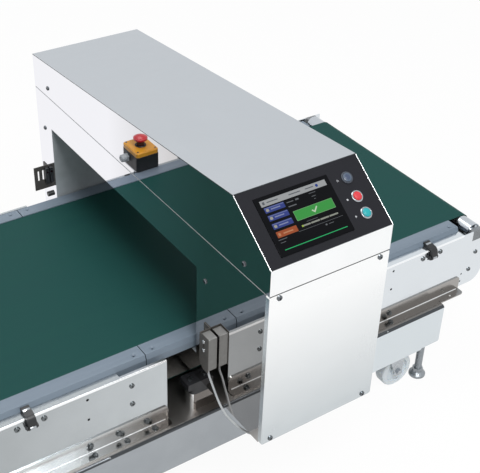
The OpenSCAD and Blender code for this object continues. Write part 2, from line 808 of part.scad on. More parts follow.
// A roller with stub ends that run in the plates' bearings
module roller(x, z, r, stub_end) {
    translate([x, conveyor_y, z]) rotate([90, 0, 0]) {
        difference() {
            translate([0, 0, -roller_half]) cylinder(h = 2 * roller_half, r = r);
            for (end = [-roller_half - 1, roller_half - 4]) translate([0, 0, end]) difference() {
                cylinder(h = 5, r = r - 3);
                translate([0, 0, -1]) cylinder(h = 7, r = stub_r + 4);
            }
        }
        translate([0, 0, -stub_end]) cylinder(h = 2 * stub_end, r = stub_r);
    }
}

module drive_roller() color("#b9bec4") roller(roller_x, roller_z, roller_r, plate_out - 3);
module tail_roller() color("#b9bec4") roller(-roller_x, roller_z, roller_r, plate_out - 3);
module outfeed_snub_roller() color("#b9bec4") roller(snub_x, snub_z, snub_r, plate_in - 1);
module infeed_snub_roller() color("#b9bec4") roller(-snub_x, snub_z, snub_r, plate_in - 1);

// A bearing on the plate's inner face
module bearing(x, z, r) {
    difference() {
        union() {
            rod_y(x, plate_in - bearing_l, plate_in, z, r);
            rod_y(x, plate_in - 4, plate_in, z, r + 6);
        }
        rod_y(x, plate_in - bearing_l - 1, plate_in + 1, z, bearing_bore / 2);
    }
}

// A block that sits in the plate's notch, with a flange on the plate's inner face
module end_block() {
    w = notch_w / 2 - run_gap;
    top = plate_top;
    difference() {
        union() {
            extrude_y(plate_in - bearing_l, plate_out) translate([roller_x, 0])
                round_rect(-w, w, notch_z, top, 1);
            extrude_y(plate_in - 4, plate_in) translate([roller_x, 0])
                round_rect(-w - 4, w + 4, notch_z - 4, top, 4);
        }
        rod_y(roller_x, plate_in - bearing_l - 1, plate_out - 2, roller_z, bearing_bore / 2);
    }
}

module bearing_blocks() {
    color("#232527") four_corners() {
        end_block();
        bearing(snub_x, snub_z, small_bearing_r);
    }
}

// ---------------------------------------------------------------- base

module base_outline(inset) {
    w = base_half - inset;
    r = 8 - inset;
    translate([-w, base_bottom - 7]) square([2 * w, base_top - base_bottom + 7 - 8]);
    translate([-w + r, base_top - 9]) square([2 * w - 2 * r, 9 - inset]);
    for (y = [-w + r, w - r]) translate([y, base_top - 8]) circle(r = r);
}

module base_frame() {
    t = base_t;
    step_x = base_x - 62;
    cx = caster_x - 55;
    color("#c6cacf") translate([0, conveyor_y, 0]) difference() {
        union() {
            difference() {
                extrude_x(-base_x, base_x) base_outline(0);
                translate([0, 0, -1]) extrude_x(-base_x + t, base_x - t) base_outline(t);
                extrude_x(-base_x + t, base_x - t) base_outline(t);
                for (s = [-1, 1]) block(s * (base_x - 31) - 31, s * (base_x - 31) + 31, -base_half - 1,
                    base_half + 1, base_bottom - 8, base_bottom);
            }
            // Bottom plates that carry the casters and the feet, and their webs
            for (s = [-1, 1]) {
                block(s * (cx + base_x - 1) / 2 - (base_x - 1 - cx) / 2, s * (cx + base_x - 1) / 2
                    + (base_x - 1 - cx) / 2, -base_half + 1, base_half - 1, channel_plate_z, base_bottom);
                block(s * cx - t / 2, s * cx + t / 2, -base_half + 1, base_half - 1, channel_plate_z,
                    base_top - 1);
                for (y = [-foot_y, foot_y]) translate([s * foot_x, y, base_bottom - 1])
                    cylinder(h = nut_h + 1, r = screw_d * 0.85, $fn = 6);
            }
        }
        for (s = [-1, 1]) for (y = [-foot_y, foot_y])
            rod_z(s * foot_x, y, channel_plate_z - 1, base_bottom + nut_h + 1, screw_d / 2 + run_gap);
        for (s = [-1, 1]) for (y = [-caster_y, caster_y]) for (dx = [-35, 35]) for (dy = [-28, 28])
            rod_z(s * caster_x + dx, y + dy, channel_plate_z - 1, base_bottom + 1, 4.1);
    }
}

module base_angles() {
    t = 3;
    color("#8f9194") four_corners() difference() {
        union() {
            extrude_y(plate_out, plate_out + t)
                round_rect(plate_x0, angle_x1, base_top - 10, base_top + angle_h, 10);
            translate([0, 0, base_top]) linear_extrude(t)
                round_rect(plate_x0, angle_x1, plate_out - 20, plate_out + angle_w, 10);
        }
        block(plate_x0 - 1, angle_x1 + 1, plate_out - 1, plate_out + 30, base_top - 20, base_top);
        block(plate_x0 - 1, angle_x1 + 1, plate_out - 30, plate_out, base_top - 20, base_top + 60);
        for (x = concat(angle_bolts, angle_free_x))
            rod_y(x, plate_out - 1, plate_out + 5, base_top + 23, 3.1);
        for (x = concat(angle_feet, angle_free_foot_x))
            rod_z(x, plate_out + 16, base_top - 1, base_top + 5, 3.1);
    }
}

// A hexagon head with its shank, out along +Z from a face
module hex_bolt(r, h, shank_r, shank) {
    cylinder(h = 1, r = r * 1.25);
    translate([0, 0, 1]) cylinder(h = h, r = r, $fn = 6);
    translate([0, 0, -shank]) cylinder(h = shank + 0.5, r = shank_r);
}

module frame_bolts() {
    color("#6f7478") {
        four_corners() {
            for (x = angle_bolts) translate([x, plate_out + 3, base_top + 23]) rotate([-90, 0, 0])
                hex_bolt(bolt_r, 4, 3, 3 + plate_t);
            for (x = angle_feet) translate([x, plate_out + 16, base_top + 3]) hex_bolt(bolt_r, 4, 3, 3);
            for (h = concat(tie_bolts, end_bolts)) translate([h[0], plate_out, h[1]]) rotate([-90, 0, 0])
                button_screw(6, 3, plate_t);
            for (s = [-1, 1]) translate([latch_x + 30 * s, plate_out, plate_top - 18])
                rotate([-90, 0, 0]) button_screw(6.5, 2, 0);
        }
        for (y = bar_y) for (s = [-1, 1]) translate([s * bar_bolt_x, y, head_bottom])
            hex_bolt(bolt_r, 4, bar_bolt_r, bar_t + 3);
    }
}

module insulating_bars() {
    color("#232428") for (y = bar_y) difference() {
        union() {
            extrude_y(y - bar_w / 2, y + bar_w / 2)
                round_rect(-bar_x, bar_x, bar_z + bar_foot_t, head_bottom, 2);
            translate([0, y, bar_z]) linear_extrude(bar_foot_t + 1)
                round_rect(-bar_x + bar_foot_in, bar_x - bar_foot_in, -bar_w / 2, bar_w / 2, post_r);
        }
        for (s = [-1, 1]) rod_z(s * bar_bolt_x, y, bar_z - 1, head_bottom + 1, bar_bolt_r + run_gap);
    }
}

module pedestals() {
    t = 3;
    w = bar_w / 2;
    x = bar_x - bar_foot_in;
    color("#cfd3d7") for (y = bar_y) difference() {
        translate([0, y, base_top]) linear_extrude(bar_z - base_top) round_rect(-x, x, -w, w, post_r);
        translate([0, y, base_top - 1]) linear_extrude(bar_z - t - base_top + 1)
            round_rect(-x + t, x - t, -w + t, w - t, post_r - t);
        for (s = [-1, 1]) rod_z(s * bar_bolt_x, y, bar_z - 5, bar_z + 1, bar_bolt_r + run_gap);
    }
}

// ---------------------------------------------------------------- latches

module latch_bases() {
    e = latch_w / 2 + free_gap;
    color("#1d1f21") four_corners() {
        block(latch_x - e - 3, latch_x + e + 3, plate_out, plate_out + 1.5, latch_pin_z - 8,
            latch_pin_z + 8);
        for (s = [-1, 1]) extrude_x(latch_x + s * (e + 1.5) - 1.5, latch_x + s * (e + 1.5) + 1.5)
            round_rect(plate_out, plate_out + 11, latch_pin_z - 5, latch_pin_z + 5, 4);
        rod_x(latch_x - e - 1, latch_x + e + 1, latch_pin_v, latch_pin_z, latch_pin_r);
    }
}

// Lever that reaches over the gap to the rail's bevel, turning on the pin in its base
module latch_lever(end, side) {
    g = free_gap + 0.2;
    color("#1d1f21") corner(end, side) difference() {
        extrude_x(latch_x - latch_w / 2, latch_x + latch_w / 2) union() {
            polygon([[rail_out - 2.5, plate_top + 9], [rail_out + g, plate_top + g],
                [plate_out + 2, plate_top + g], [plate_out + 2, latch_pin_z],
                [latch_pin_v + latch_boss_r, latch_pin_z], [plate_out + 11, plate_top - 10],
                [plate_out + 9, plate_top - 2], [plate_out + 5, plate_top + 4],
                [plate_out - 1, plate_top + 7], [rail_out + 5, plate_top + 8.5],
                [rail_out - 1, plate_top + 11]]);
            translate([latch_pin_v, latch_pin_z]) circle(r = latch_boss_r);
        }
        rod_x(latch_x - 20, latch_x + 20, latch_pin_v, latch_pin_z, latch_pin_r + run_gap);
    }
}

module latch_lever_1() latch_lever(-1, -1);
module latch_lever_2() latch_lever(1, -1);
module latch_lever_3() latch_lever(-1, 1);
module latch_lever_4() latch_lever(1, 1);

// ---------------------------------------------------------------- stop box

module stop_box() {
    color("#17181a") difference() {
        translate([stop_x, stop_y, stop_z]) linear_extrude(stop_h)
            round_rect(-stop_w / 2, stop_w / 2, -stop_l / 2, stop_l / 2, 6);
        translate([stop_x, stop_y, stop_z + 3]) linear_extrude(stop_h)
            round_rect(-stop_w / 2 + 3, stop_w / 2 - 3, -stop_l / 2 + 3, stop_l / 2 - 3, 3);
    }
}

module stop_lid() {
    color("#d79a2b") translate([stop_x, stop_y, stop_z + stop_h]) difference() {
        union() {
            linear_extrude(stop_lid_h - 2)
                round_rect(-stop_w / 2, stop_w / 2, -stop_l / 2, stop_l / 2, 8);
            linear_extrude(stop_lid_h)
                round_rect(-stop_w / 2 + 2, stop_w / 2 - 2, -stop_l / 2 + 2, stop_l / 2 - 2, 6);
        }
        translate([0, 0, -1]) cylinder(h = 30, r = 11 + free_gap);
    }
}

module stop_mushroom() {
    lid_top = stop_z + stop_h + stop_lid_h;
    r = mushroom_d / 2;
    color("#c2272d") translate([stop_x, stop_y, lid_top]) {
        translate([0, 0, -stop_lid_h - 10]) cylinder(h = stop_lid_h + 10 + neck_h + 1, r = 11);
        translate([0, 0, neck_h]) rotate_extrude() intersection() {
            union() {
                square([r, 6]);
                translate([0, -14]) circle(r = r * 1.36);
            }
            square([r, cap_h]);
        }
    }
}

module stop_bracket() {
    t = 3;
    y0 = stop_y - stop_l / 2;
    yp = conveyor_y + plate_out;
    color("#b4b8bc") {
        block(stop_x - stop_w / 2, stop_x + stop_w / 2, y0 + 8, stop_y + stop_l / 2, stop_z - t, stop_z);
        block(stop_x - stop_w / 2 + 8, stop_x + stop_w / 2 - 8, yp, yp + t, plate_top - 60, stop_z - t);
    }
}

// ---------------------------------------------------------------- casters

module caster_plates() {
    color("#aeb3b8") four_corners() translate([caster_x, caster_y, 0]) {
        difference() {
            translate([0, 0, channel_plate_z - 4]) linear_extrude(4) round_rect(-45, 45, -37.5, 37.5, 6);
            for (dx = [-35, 35]) for (dy = [-28, 28])
                rod_z(dx, dy, channel_plate_z - 5, channel_plate_z + 1, 4.1);
        }
        rod_z(0, 0, race_z, channel_plate_z - 3, race_r);
        rod_z(0, 0, crown_z - 4, race_z + 1, pin_r);
        rod_z(0, 0, crown_z - 6, crown_z - free_gap, 10);
        for (dx = [-35, 35]) for (dy = [-28, 28]) translate([dx, dy, channel_plate_z - 4])
            rotate([180, 0, 0]) hex_bolt(6.5, 4, 4, 8);
    }
}

module fork(end, side) {
    y_in = wheel_w / 2 + fork_gap;
    y_out = y_in + fork_t;
    z_axle = wheel_d / 2;
    color("#d3d6d9") corner(end, side) translate([caster_x, caster_y, 0]) {
        difference() {
            union() {
                rod_z(0, 0, crown_z, race_z - free_gap, race_r - 1);
                block(0, caster_trail + 14, -y_out, y_out, crown_z, crown_z + 5);
                for (y = [-y_out, y_in]) extrude_y(y, y + fork_t) {
                    translate([caster_trail, z_axle]) circle(r = 14);
                    polygon([[2, crown_z + 5], [2, crown_z - 6], [caster_trail - 14, z_axle],
                        [caster_trail + 14, z_axle], [caster_trail + 14, crown_z + 5]]);
                }
            }
            rod_z(0, 0, crown_z - 20, race_z + 10, pin_r + run_gap);
            rod_y(caster_trail, -50, 50, z_axle, axle_r + run_gap);
        }
        // Axle bolt with its heads outside the legs
        rod_y(caster_trail, -y_out - 1, y_out + 1, z_axle, axle_r);
        for (s = [-1, 1]) translate([caster_trail, s * (y_out + 3), z_axle]) rotate([90, 0, 0])
            cylinder(h = 6, r = 9, center = true, $fn = 6);
    }
}

module caster_fork_1() fork(-1, -1);
module caster_fork_2() fork(1, -1);
module caster_fork_3() fork(-1, 1);
module caster_fork_4() fork(1, 1);

module wheel(end, side) {
    r = wheel_d / 2;
    w = wheel_w / 2;
    color("#e6e8e6") corner(end, side) translate([caster_x + caster_trail, caster_y, r])
        rotate([90, 0, 0]) rotate_extrude($fn = 72) difference() {
            union() {
                translate([axle_r + run_gap, -w - 1]) square([10, 2 * w + 2]);
                translate([axle_r + run_gap, -w + 7]) square([r - axle_r - 4, 2 * w - 14]);
                translate([r - 14, -w]) square([14 - 5, 2 * w]);
                translate([r - 8, -w + 5]) square([8, 2 * w - 10]);
                for (y = [-w + 5, w - 5]) translate([r - 5, y]) circle(r = 5);
            }
        }
}

module caster_wheel_1() wheel(-1, -1);
module caster_wheel_2() wheel(1, -1);
module caster_wheel_3() wheel(-1, 1);
module caster_wheel_4() wheel(1, 1);

module foot(end, side) {
    r = foot_d / 2;
    color("#8f9498") corner(end, side) translate([foot_x, foot_y, 0]) {
        rotate_extrude() polygon([[0, 0], [r - 1.5, 0], [r, 1.5], [r, 7], [r - 2, 9],
            [screw_d * 0.7, 16], [0, 16]]);
        cylinder(h = base_bottom + nut_h + 40, r = screw_d / 2);
        translate([0, 0, 15]) cylinder(h = 12, r = screw_d * 0.75, $fn = 6);
    }
}

module leveling_foot_1() foot(-1, -1);
module leveling_foot_2() foot(1, -1);
module leveling_foot_3() foot(-1, 1);
module leveling_foot_4() foot(1, 1);

head_case();
hood();
front_cover();
rear_cover();
aperture_liner();
search_coils();
control_chassis();
control_board();
power_supply();
panel_fascia();
display_module();
display_glass();
button_collars();
power_button();
stop_button();
start_button();
cover_screws();
cable_glands();
sensor_brackets();
sensor_bar();
sensor_cable();
reflector();
side_plates();
cross_ties();
side_rails();
end_beds();
tunnel_bed();
belt();
drive_roller();
tail_roller();
infeed_snub_roller();
outfeed_snub_roller();
bearing_blocks();
base_frame();
base_angles();
frame_bolts();
insulating_bars();
pedestals();
latch_bases();
latch_lever_1();
latch_lever_2();
latch_lever_3();
latch_lever_4();
stop_box();
stop_lid();
stop_mushroom();
stop_bracket();
caster_plates();
caster_fork_1();
caster_fork_2();
caster_fork_3();
caster_fork_4();
caster_wheel_1();
caster_wheel_2();
caster_wheel_3();
caster_wheel_4();
leveling_foot_1();
leveling_foot_2();
leveling_foot_3();
leveling_foot_4();
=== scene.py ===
"""Visual model of a conveyor metal detector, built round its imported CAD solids.

The detector head stands over a through belt on a wheeled base, with an operator panel in the slope of
its hood, a product sensor at the mouth of its passage and an emergency stop beside the belt. Sizes in
the classes below are millimetres in the frame of the CAD: X along the belt, Y across it, Z up.
"""

from __future__ import annotations

import json
import logging
import math
from dataclasses import dataclass
from enum import Enum
from typing import Callable, Iterable, Sequence

import bmesh
import bpy
from mathutils import Matrix, Vector

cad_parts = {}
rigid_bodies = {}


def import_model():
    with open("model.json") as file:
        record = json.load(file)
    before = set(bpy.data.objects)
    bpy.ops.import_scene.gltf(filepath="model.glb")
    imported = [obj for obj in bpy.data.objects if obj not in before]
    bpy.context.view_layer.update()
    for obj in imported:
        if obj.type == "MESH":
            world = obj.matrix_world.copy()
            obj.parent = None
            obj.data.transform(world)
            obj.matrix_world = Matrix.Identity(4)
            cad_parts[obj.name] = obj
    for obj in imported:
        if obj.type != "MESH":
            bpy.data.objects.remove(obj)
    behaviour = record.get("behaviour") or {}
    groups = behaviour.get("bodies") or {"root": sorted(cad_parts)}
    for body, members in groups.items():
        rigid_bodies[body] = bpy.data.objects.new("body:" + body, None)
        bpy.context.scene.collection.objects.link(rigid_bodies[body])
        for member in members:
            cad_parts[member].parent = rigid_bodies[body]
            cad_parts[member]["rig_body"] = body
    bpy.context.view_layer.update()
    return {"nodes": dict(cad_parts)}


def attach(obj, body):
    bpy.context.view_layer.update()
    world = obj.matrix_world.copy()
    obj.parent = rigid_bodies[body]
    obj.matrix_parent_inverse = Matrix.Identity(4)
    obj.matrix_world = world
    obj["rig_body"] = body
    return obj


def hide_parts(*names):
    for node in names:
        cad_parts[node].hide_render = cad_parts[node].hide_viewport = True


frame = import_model()

log = logging.getLogger("metal_detector")
MM = 0.001
STATIC_BODY = "frame"

Triple = Sequence[float]
Box = Sequence[float]
Socket = bpy.types.NodeSocket
Tree = bpy.types.NodeTree


class Axis(Enum):
    """The three axes of the object's frame."""

    X = Vector((1, 0, 0))
    Y = Vector((0, 1, 0))
    Z = Vector((0, 0, 1))


# ---------------------------------------------------------------- finishes

# Most of a noise's values lie in this range
CORE = {"From Min": 0.35, "From Max": 0.65}
# A colour mix's factor and two colours among its inputs, and its result among its outputs
FACTOR, FIRST, SECOND, MIXED = 0, 6, 7, 2
# How many times longer than wide the polishing lines of a sheet are
LINE_STRETCH = 40
# The roughness of a clear coat, and how far red, green and blue light goes into a plastic, in metres
COAT_ROUGHNESS = 0.08
SCATTER_RADIUS = (0.004, 0.003, 0.002)
# The gloss of printed glass, so low because its face is seen against its black back
GLASS_GLOSS = 0.06


class Pattern(Enum):
    """The textures that finishes are drawn with, each with its scale for spots or bands one unit apart."""

    NOISE = ("ShaderNodeTexNoise", 1.0)
    BANDS = ("ShaderNodeTexWave", 0.314)
    CHECKS = ("ShaderNodeTexChecker", 1.0)


def linear(colour: str) -> tuple[float, float, float, float]:
    """Turns an sRGB colour into the linear values that the shaders take.

    Args:
        colour: the colour as "#rrggbb".

    Returns:
        Linear red, green, blue and an alpha of one.
    """
    values = [int(colour[k : k + 2], 16) / 255 for k in (1, 3, 5)]
    bent = [v / 12.92 if v <= 0.04045 else ((v + 0.055) / 1.055) ** 2.4 for v in values]
    return (*bent, 1.0)


def add(tree: Tree, kind: str, inputs: dict | None = None, **settings: object) -> bpy.types.Node:
    """Adds a node to a tree, with its settings and its inputs.

    Args:
        tree: the node tree.
        kind: the node's type name.
        inputs: input names or places, each with a value or with the socket that is linked to it.
        settings: properties of the node.

    Returns:
        The node.
    """
    made = tree.nodes.new(kind)
    for name, value in settings.items():
        setattr(made, name, value)
    for key, value in (inputs or {}).items():
        if isinstance(value, Socket):
            tree.links.new(value, made.inputs[key])
        else:
            made.inputs[key].default_value = value
    return made


def pattern(tree: Tree, size_mm: float, stretch: Triple = (1, 1, 1), kind: Pattern = Pattern.NOISE,
            detail: float | None = None, distortion: float | None = None, **settings: object) -> Socket:
    """A texture in the object's own space, whose spots, bands or checks are size_mm across.

    Args:
        tree: the node tree.
        size_mm: the width of a spot, a band or a check.
        stretch: how much longer the spots are along each axis.
        kind: the texture.
        detail: how many finer layers of noise there are, two when it isn't given.
        distortion: how far noise bends the bands.
        settings: properties of the texture's node.

    Returns:
        The texture as a number from 0 to 1.
    """
    node, scale = kind.value
    place = add(tree, "ShaderNodeTexCoord").outputs["Object"]
    sizes = [1 / (size_mm * MM * s) for s in stretch]
    turned = add(tree, "ShaderNodeMapping", {"Vector": place, "Scale": sizes}).outputs["Vector"]
    chosen = {"Detail": detail, "Distortion": distortion}
    chosen = {key: value for key, value in chosen.items() if value is not None}
    return add(tree, node, {"Vector": turned, "Scale": scale, **chosen}, **settings).outputs["Fac"]


def shade(tree: Tree, inputs: dict, tones: tuple[Socket, str, str] | None = None,
          rough: tuple[Socket, float, float] | None = None,
          heights: Sequence[tuple[Socket, float]] = ()) -> Socket:
    """Shades a surface by its plain values and by the patterns that vary them.

    Args:
        tree: the node tree.
        inputs: the shader's inputs that are the same all over or that already have their socket.
        tones: a pattern, and the sRGB colours that it mixes.
        rough: a pattern, and the roughnesses at both ends of its core.
        heights: patterns of height with their depths in millimetres, the undermost first.

    Returns:
        The shader.
    """
    inputs = dict(inputs)
    if tones:
        mixed = {FACTOR: tones[0], FIRST: linear(tones[1]), SECOND: linear(tones[2])}
        inputs["Base Color"] = add(tree, "ShaderNodeMix", mixed, data_type="RGBA").outputs[MIXED]
    if rough:
        spread = {"Value": rough[0], **CORE, "To Min": rough[1], "To Max": rough[2]}
        inputs["Roughness"] = add(tree, "ShaderNodeMapRange", spread).outputs["Result"]
    for height, depth_mm in heights:
        under = {"Normal": inputs["Normal"]} if "Normal" in inputs else {}
        bump = {"Height": height, "Distance": depth_mm * MM, "Strength": 1.0, **under}
        inputs["Normal"] = add(tree, "ShaderNodeBump", bump).outputs["Normal"]
    return add(tree, "ShaderNodeBsdfPrincipled", inputs).outputs["BSDF"]


@dataclass(frozen=True)
class Finish:
    """A surface finish that makes its own material once."""

    name: str
    colour: str

    def material(self) -> bpy.types.Material:
        """The finish as a material, made on first use.

        Returns:
            The material.
        """
        found = bpy.data.materials.get(self.name)
        if found:
            return found
        made = bpy.data.materials.new(self.name)
        made.use_nodes = True
        made.node_tree.nodes.clear()
        surface = self.surface(made.node_tree)
        add(made.node_tree, "ShaderNodeOutputMaterial", {"Surface": surface})
        return made

    def surface(self, tree: Tree) -> Socket:
        """The shader that the material shows."""
        raise NotImplementedError


@dataclass(frozen=True)
class SheetSteel(Finish):
    """Cold-rolled stainless sheet, from mirror to satin by how it was polished.

    Polishing leaves fine parallel lines, the rolled sheet is never quite flat, and handling leaves it
    a little cloudier in places. That bends what it reflects and softens it unevenly. A painted light
    colour is painted reflection: the colour shades into it along one axis, towards one end.
    """

    cloud: str
    rough: float = 0.12
    span: float = 0.06
    lines: Axis = Axis.X
    lines_mm: float = 0.9
    lines_depth: float = 0.0004
    wave_mm: float = 120.0
    wave_depth: float = 0.02
    cloud_mm: float = 70.0
    streak_share: float = 0.6
    # Painted reflection: the colour the sheet shades into along an axis, and where that shading starts and
    # ends
    painted_light_colour: str = ""
    painted_light_axis: Axis = Axis.X
    painted_light_mm: tuple[float, float] = (-700.0, 400.0)

    def surface(self, tree: Tree) -> Socket:
        """Clouded steel with polishing lines over a slow wave, which may shade along an axis into a painted
        reflection.

        Args:
            tree: the material's node tree.

        Returns:
            The shader.
        """
        cloud = pattern(tree, self.cloud_mm, detail=4)
        stretch = [LINE_STRETCH if axis is self.lines else 1 for axis in Axis]
        lines = pattern(tree, self.lines_mm, stretch, detail=3)
        wave = pattern(tree, self.wave_mm, detail=0.5)
        ends = {"To Min": self.rough, "To Max": self.rough + self.span}
        rough = add(tree, "ShaderNodeMapRange", {"Value": cloud, **CORE, **ends}).outputs["Result"]
        streaks = {"Value": lines, **CORE, "To Max": self.span * self.streak_share}
        streak = add(tree, "ShaderNodeMapRange", streaks).outputs["Result"]
        total = add(tree, "ShaderNodeMath", {0: rough, 1: streak}, operation="ADD").outputs[0]
        tones = {FACTOR: cloud, FIRST: linear(self.colour), SECOND: linear(self.cloud)}
        colour = add(tree, "ShaderNodeMix", tones, data_type="RGBA").outputs[MIXED]
        # Painted reflection: the colour shades along the axis towards what the sheet reflects at that end
        if self.painted_light_colour:
            place = add(tree, "ShaderNodeTexCoord").outputs["Object"]
            along = add(tree, "ShaderNodeSeparateXYZ", {0: place}).outputs[self.painted_light_axis.name]
            near_end, far_end = (v * MM for v in self.painted_light_mm)
            run = {"Value": along, "From Min": near_end, "From Max": far_end}
            share = add(tree, "ShaderNodeMapRange", run).outputs["Result"]
            tones = {FACTOR: share, FIRST: colour, SECOND: linear(self.painted_light_colour)}
            colour = add(tree, "ShaderNodeMix", tones, data_type="RGBA").outputs[MIXED]
        inputs = {"Base Color": colour, "Metallic": 1.0, "Roughness": total}
        return shade(tree, inputs, heights=[(wave, self.wave_depth), (lines, self.lines_depth)])


@dataclass(frozen=True)
class PlatedSteel(Finish):
    """Zinc, nickel or chrome plate over pressed, cast or turned steel.

    The plate follows the metal's own texture, is brighter where it is thick, and dulls in spots.
    """

    spots: str = "#8f9499"
    rough: float = 0.25
    span: float = 0.15
    spot_mm: float = 9.0
    texture_mm: float = 0.7
    texture_depth: float = 0.01
    stretch: Triple = (1, 1, 1)

    def surface(self, tree: Tree) -> Socket:
        """Spotted plate over a fine texture.

        Args:
            tree: the material's node tree.

        Returns:
            The shader.
        """
        spots = pattern(tree, self.spot_mm, self.stretch, detail=5)
        texture = pattern(tree, self.texture_mm, self.stretch, detail=3)
        return shade(tree, {"Metallic": 1.0}, (spots, self.colour, self.spots),
                     (spots, self.rough, self.rough + self.span), [(texture, self.texture_depth)])


@dataclass(frozen=True)
class MouldedPlastic(Finish):
    """A thermoplastic from a mould, or machined from a slab, by its texture.

    A mould's spark-eroded skin gives a fine even grain and a soft highlight; a sawn slab shows long
    cutter marks. Both are coloured through, with faint flow marks and scuffs.
    """

    flow: str
    rough: float = 0.4
    span: float = 0.12
    grain_mm: float = 0.8
    grain_depth: float = 0.02
    stretch: Triple = (1, 1, 1)
    flow_mm: float = 35.0
    ior: float = 1.5
    coat: float = 0.0
    scatter: float = 0.0
    gloss: float = 0.5

    def surface(self, tree: Tree) -> Socket:
        """Coloured plastic with flow marks and a moulded grain.

        Args:
            tree: the material's node tree.

        Returns:
            The shader.
        """
        flow = pattern(tree, self.flow_mm, self.stretch, detail=4)
        skin = pattern(tree, self.grain_mm, self.stretch)
        marks = {"Value": flow, "From Min": 0.3, "From Max": 0.7}
        marked = add(tree, "ShaderNodeMapRange", marks).outputs["Result"]
        inputs = {
            "IOR": self.ior,
            "Specular IOR Level": self.gloss,
            "Coat Weight": self.coat,
            "Coat Roughness": COAT_ROUGHNESS,
            "Subsurface Weight": self.scatter,
            "Subsurface Radius": SCATTER_RADIUS,
        }
        return shade(tree, inputs, (marked, self.colour, self.flow),
                     (flow, self.rough, self.rough + self.span), [(skin, self.grain_depth)])


@dataclass(frozen=True)
class BeltCover(Finish):
    """PVC belt cover, calendered onto polyester fabric.

    The matt cover takes a faint imprint of the weave, drawn at 3 mm so that it shows, and use leaves
    long polished tracks along the belt.
    """

    worn: str = "#1a4541"
    weave_mm: float = 3.0
    weave_depth: float = 0.06
    track_mm: float = 22.0
    track_stretch: Triple = (30, 1, 1)
    rough: float = 0.55
    span: float = 0.05
    gloss: float = 0.12

    def surface(self, tree: Tree) -> Socket:
        """Matt cover with a weave imprint and tracks of wear along X.

        Args:
            tree: the material's node tree.

        Returns:
            The shader.
        """
        yarns = [pattern(tree, self.weave_mm, kind=Pattern.BANDS, bands_direction=way) for way in ("X", "Y")]
        weave = add(tree, "ShaderNodeMath", dict(enumerate(yarns)), operation="MULTIPLY").outputs[0]
        tracks = pattern(tree, self.track_mm, self.track_stretch, detail=4)
        worn = add(tree, "ShaderNodeMapRange", {"Value": tracks, **CORE}).outputs["Result"]
        return shade(tree, {"Specular IOR Level": self.gloss}, (worn, self.colour, self.worn),
                     (tracks, self.rough, self.rough + self.span),
                     [(pattern(tree, 0.9), 0.02), (weave, self.weave_depth)])


@dataclass(frozen=True)
class WovenFabric(Finish):
    """Bare polyester fabric on a belt's running side: plain weave of pale yarns."""

    gap: str
    yarn_mm: float = 2.5

    def surface(self, tree: Tree) -> Socket:
        """Over-and-under yarns as fine checks, under a fuzz of fibres.

        Args:
            tree: the material's node tree.

        Returns:
            The shader.
        """
        yarns = pattern(tree, self.yarn_mm, kind=Pattern.CHECKS)
        fuzz = pattern(tree, 1.2, detail=4)
        height = add(tree, "ShaderNodeMath", {0: yarns, 1: fuzz}, operation="ADD").outputs[0]
        share = add(tree, "ShaderNodeMapRange", {"Value": fuzz, **CORE}).outputs["Result"]
        inputs = {"Roughness": 0.85, "Sheen Weight": 0.2}
        return shade(tree, inputs, (share, self.colour, self.gap), heights=[(height, 0.12)])


@dataclass(frozen=True)
class PrintedFilm(Finish):
    """Polyester overlay film with a fine matt texture, printed on its back."""

    edge: str = "#232427"
    rough: float = 0.38
    span: float = 0.1
    gloss: float = 0.07

    def surface(self, tree: Tree) -> Socket:
        """A matt film over an even ink.

        Args:
            tree: the material's node tree.

        Returns:
            The shader.
        """
        ink = pattern(tree, 60, detail=3)
        scuffs = pattern(tree, 18, detail=4)
        return shade(tree, {"Specular IOR Level": self.gloss}, (ink, self.colour, self.edge),
                     (scuffs, self.rough, self.rough + self.span), [(pattern(tree, 0.5), 0.006)])


@dataclass(frozen=True)
class LitDisplay(Finish):
    """A field of a liquid crystal display, lit from behind and seen through its glass."""

    glow: float
    pitch_mm: float = 0.9

    def surface(self, tree: Tree) -> Socket:
        """A glowing colour with the faint grid of its cells, under a glossy face.

        Args:
            tree: the material's node tree.

        Returns:
            The shader.
        """
        rows = pattern(tree, self.pitch_mm, kind=Pattern.BANDS, bands_direction="X")
        dim = add(tree, "ShaderNodeMapRange", {"Value": rows, "To Max": 0.12}).outputs["Result"]
        tones = {FACTOR: dim, FIRST: linear(self.colour), SECOND: linear("#000000")}
        inputs = {
            "Base Color": linear("#0c0d10"),
            "Specular IOR Level": GLASS_GLOSS,
            "Emission Color": add(tree, "ShaderNodeMix", tones, data_type="RGBA").outputs[MIXED],
            "Emission Strength": self.glow,
        }
        return shade(tree, inputs, rough=(pattern(tree, 30), 0.05, 0.12))


@dataclass(frozen=True)
class ToughenedGlass(Finish):
    """Toughened cover glass, black printed on its back, with faint wipe marks."""

    def surface(self, tree: Tree) -> Socket:
        """A black ground under a clear polished face.

        Args:
            tree: the material's node tree.

        Returns:
            The shader.
        """
        wipes = pattern(tree, 14, (6, 1, 1), detail=4)
        tones = (wipes, self.colour, "#0e0f12")
        return shade(tree, {"Specular IOR Level": GLASS_GLOSS}, tones, (wipes, 0.03, 0.1))


@dataclass(frozen=True)
class WoundCopper(Finish):
    """Enamelled copper wire, wound in layers and varnished."""

    turn_mm: float = 1.6
    turn_depth: float = 0.3

    def surface(self, tree: Tree) -> Socket:
        """Turns side by side, wavy where they cross.

        Args:
            tree: the material's node tree.

        Returns:
            The shader.
        """
        turns = pattern(tree, self.turn_mm, kind=Pattern.BANDS, distortion=1.5, bands_direction="X")
        # Dark copper in the grooves and bright copper on the turns: painted shade and painted highlight
        return shade(tree, {"Metallic": 0.8, "Coat Weight": 0.4}, (turns, "#6e3310", self.colour),
                     (pattern(tree, 6), 0.25, 0.45), [(turns, self.turn_depth)])


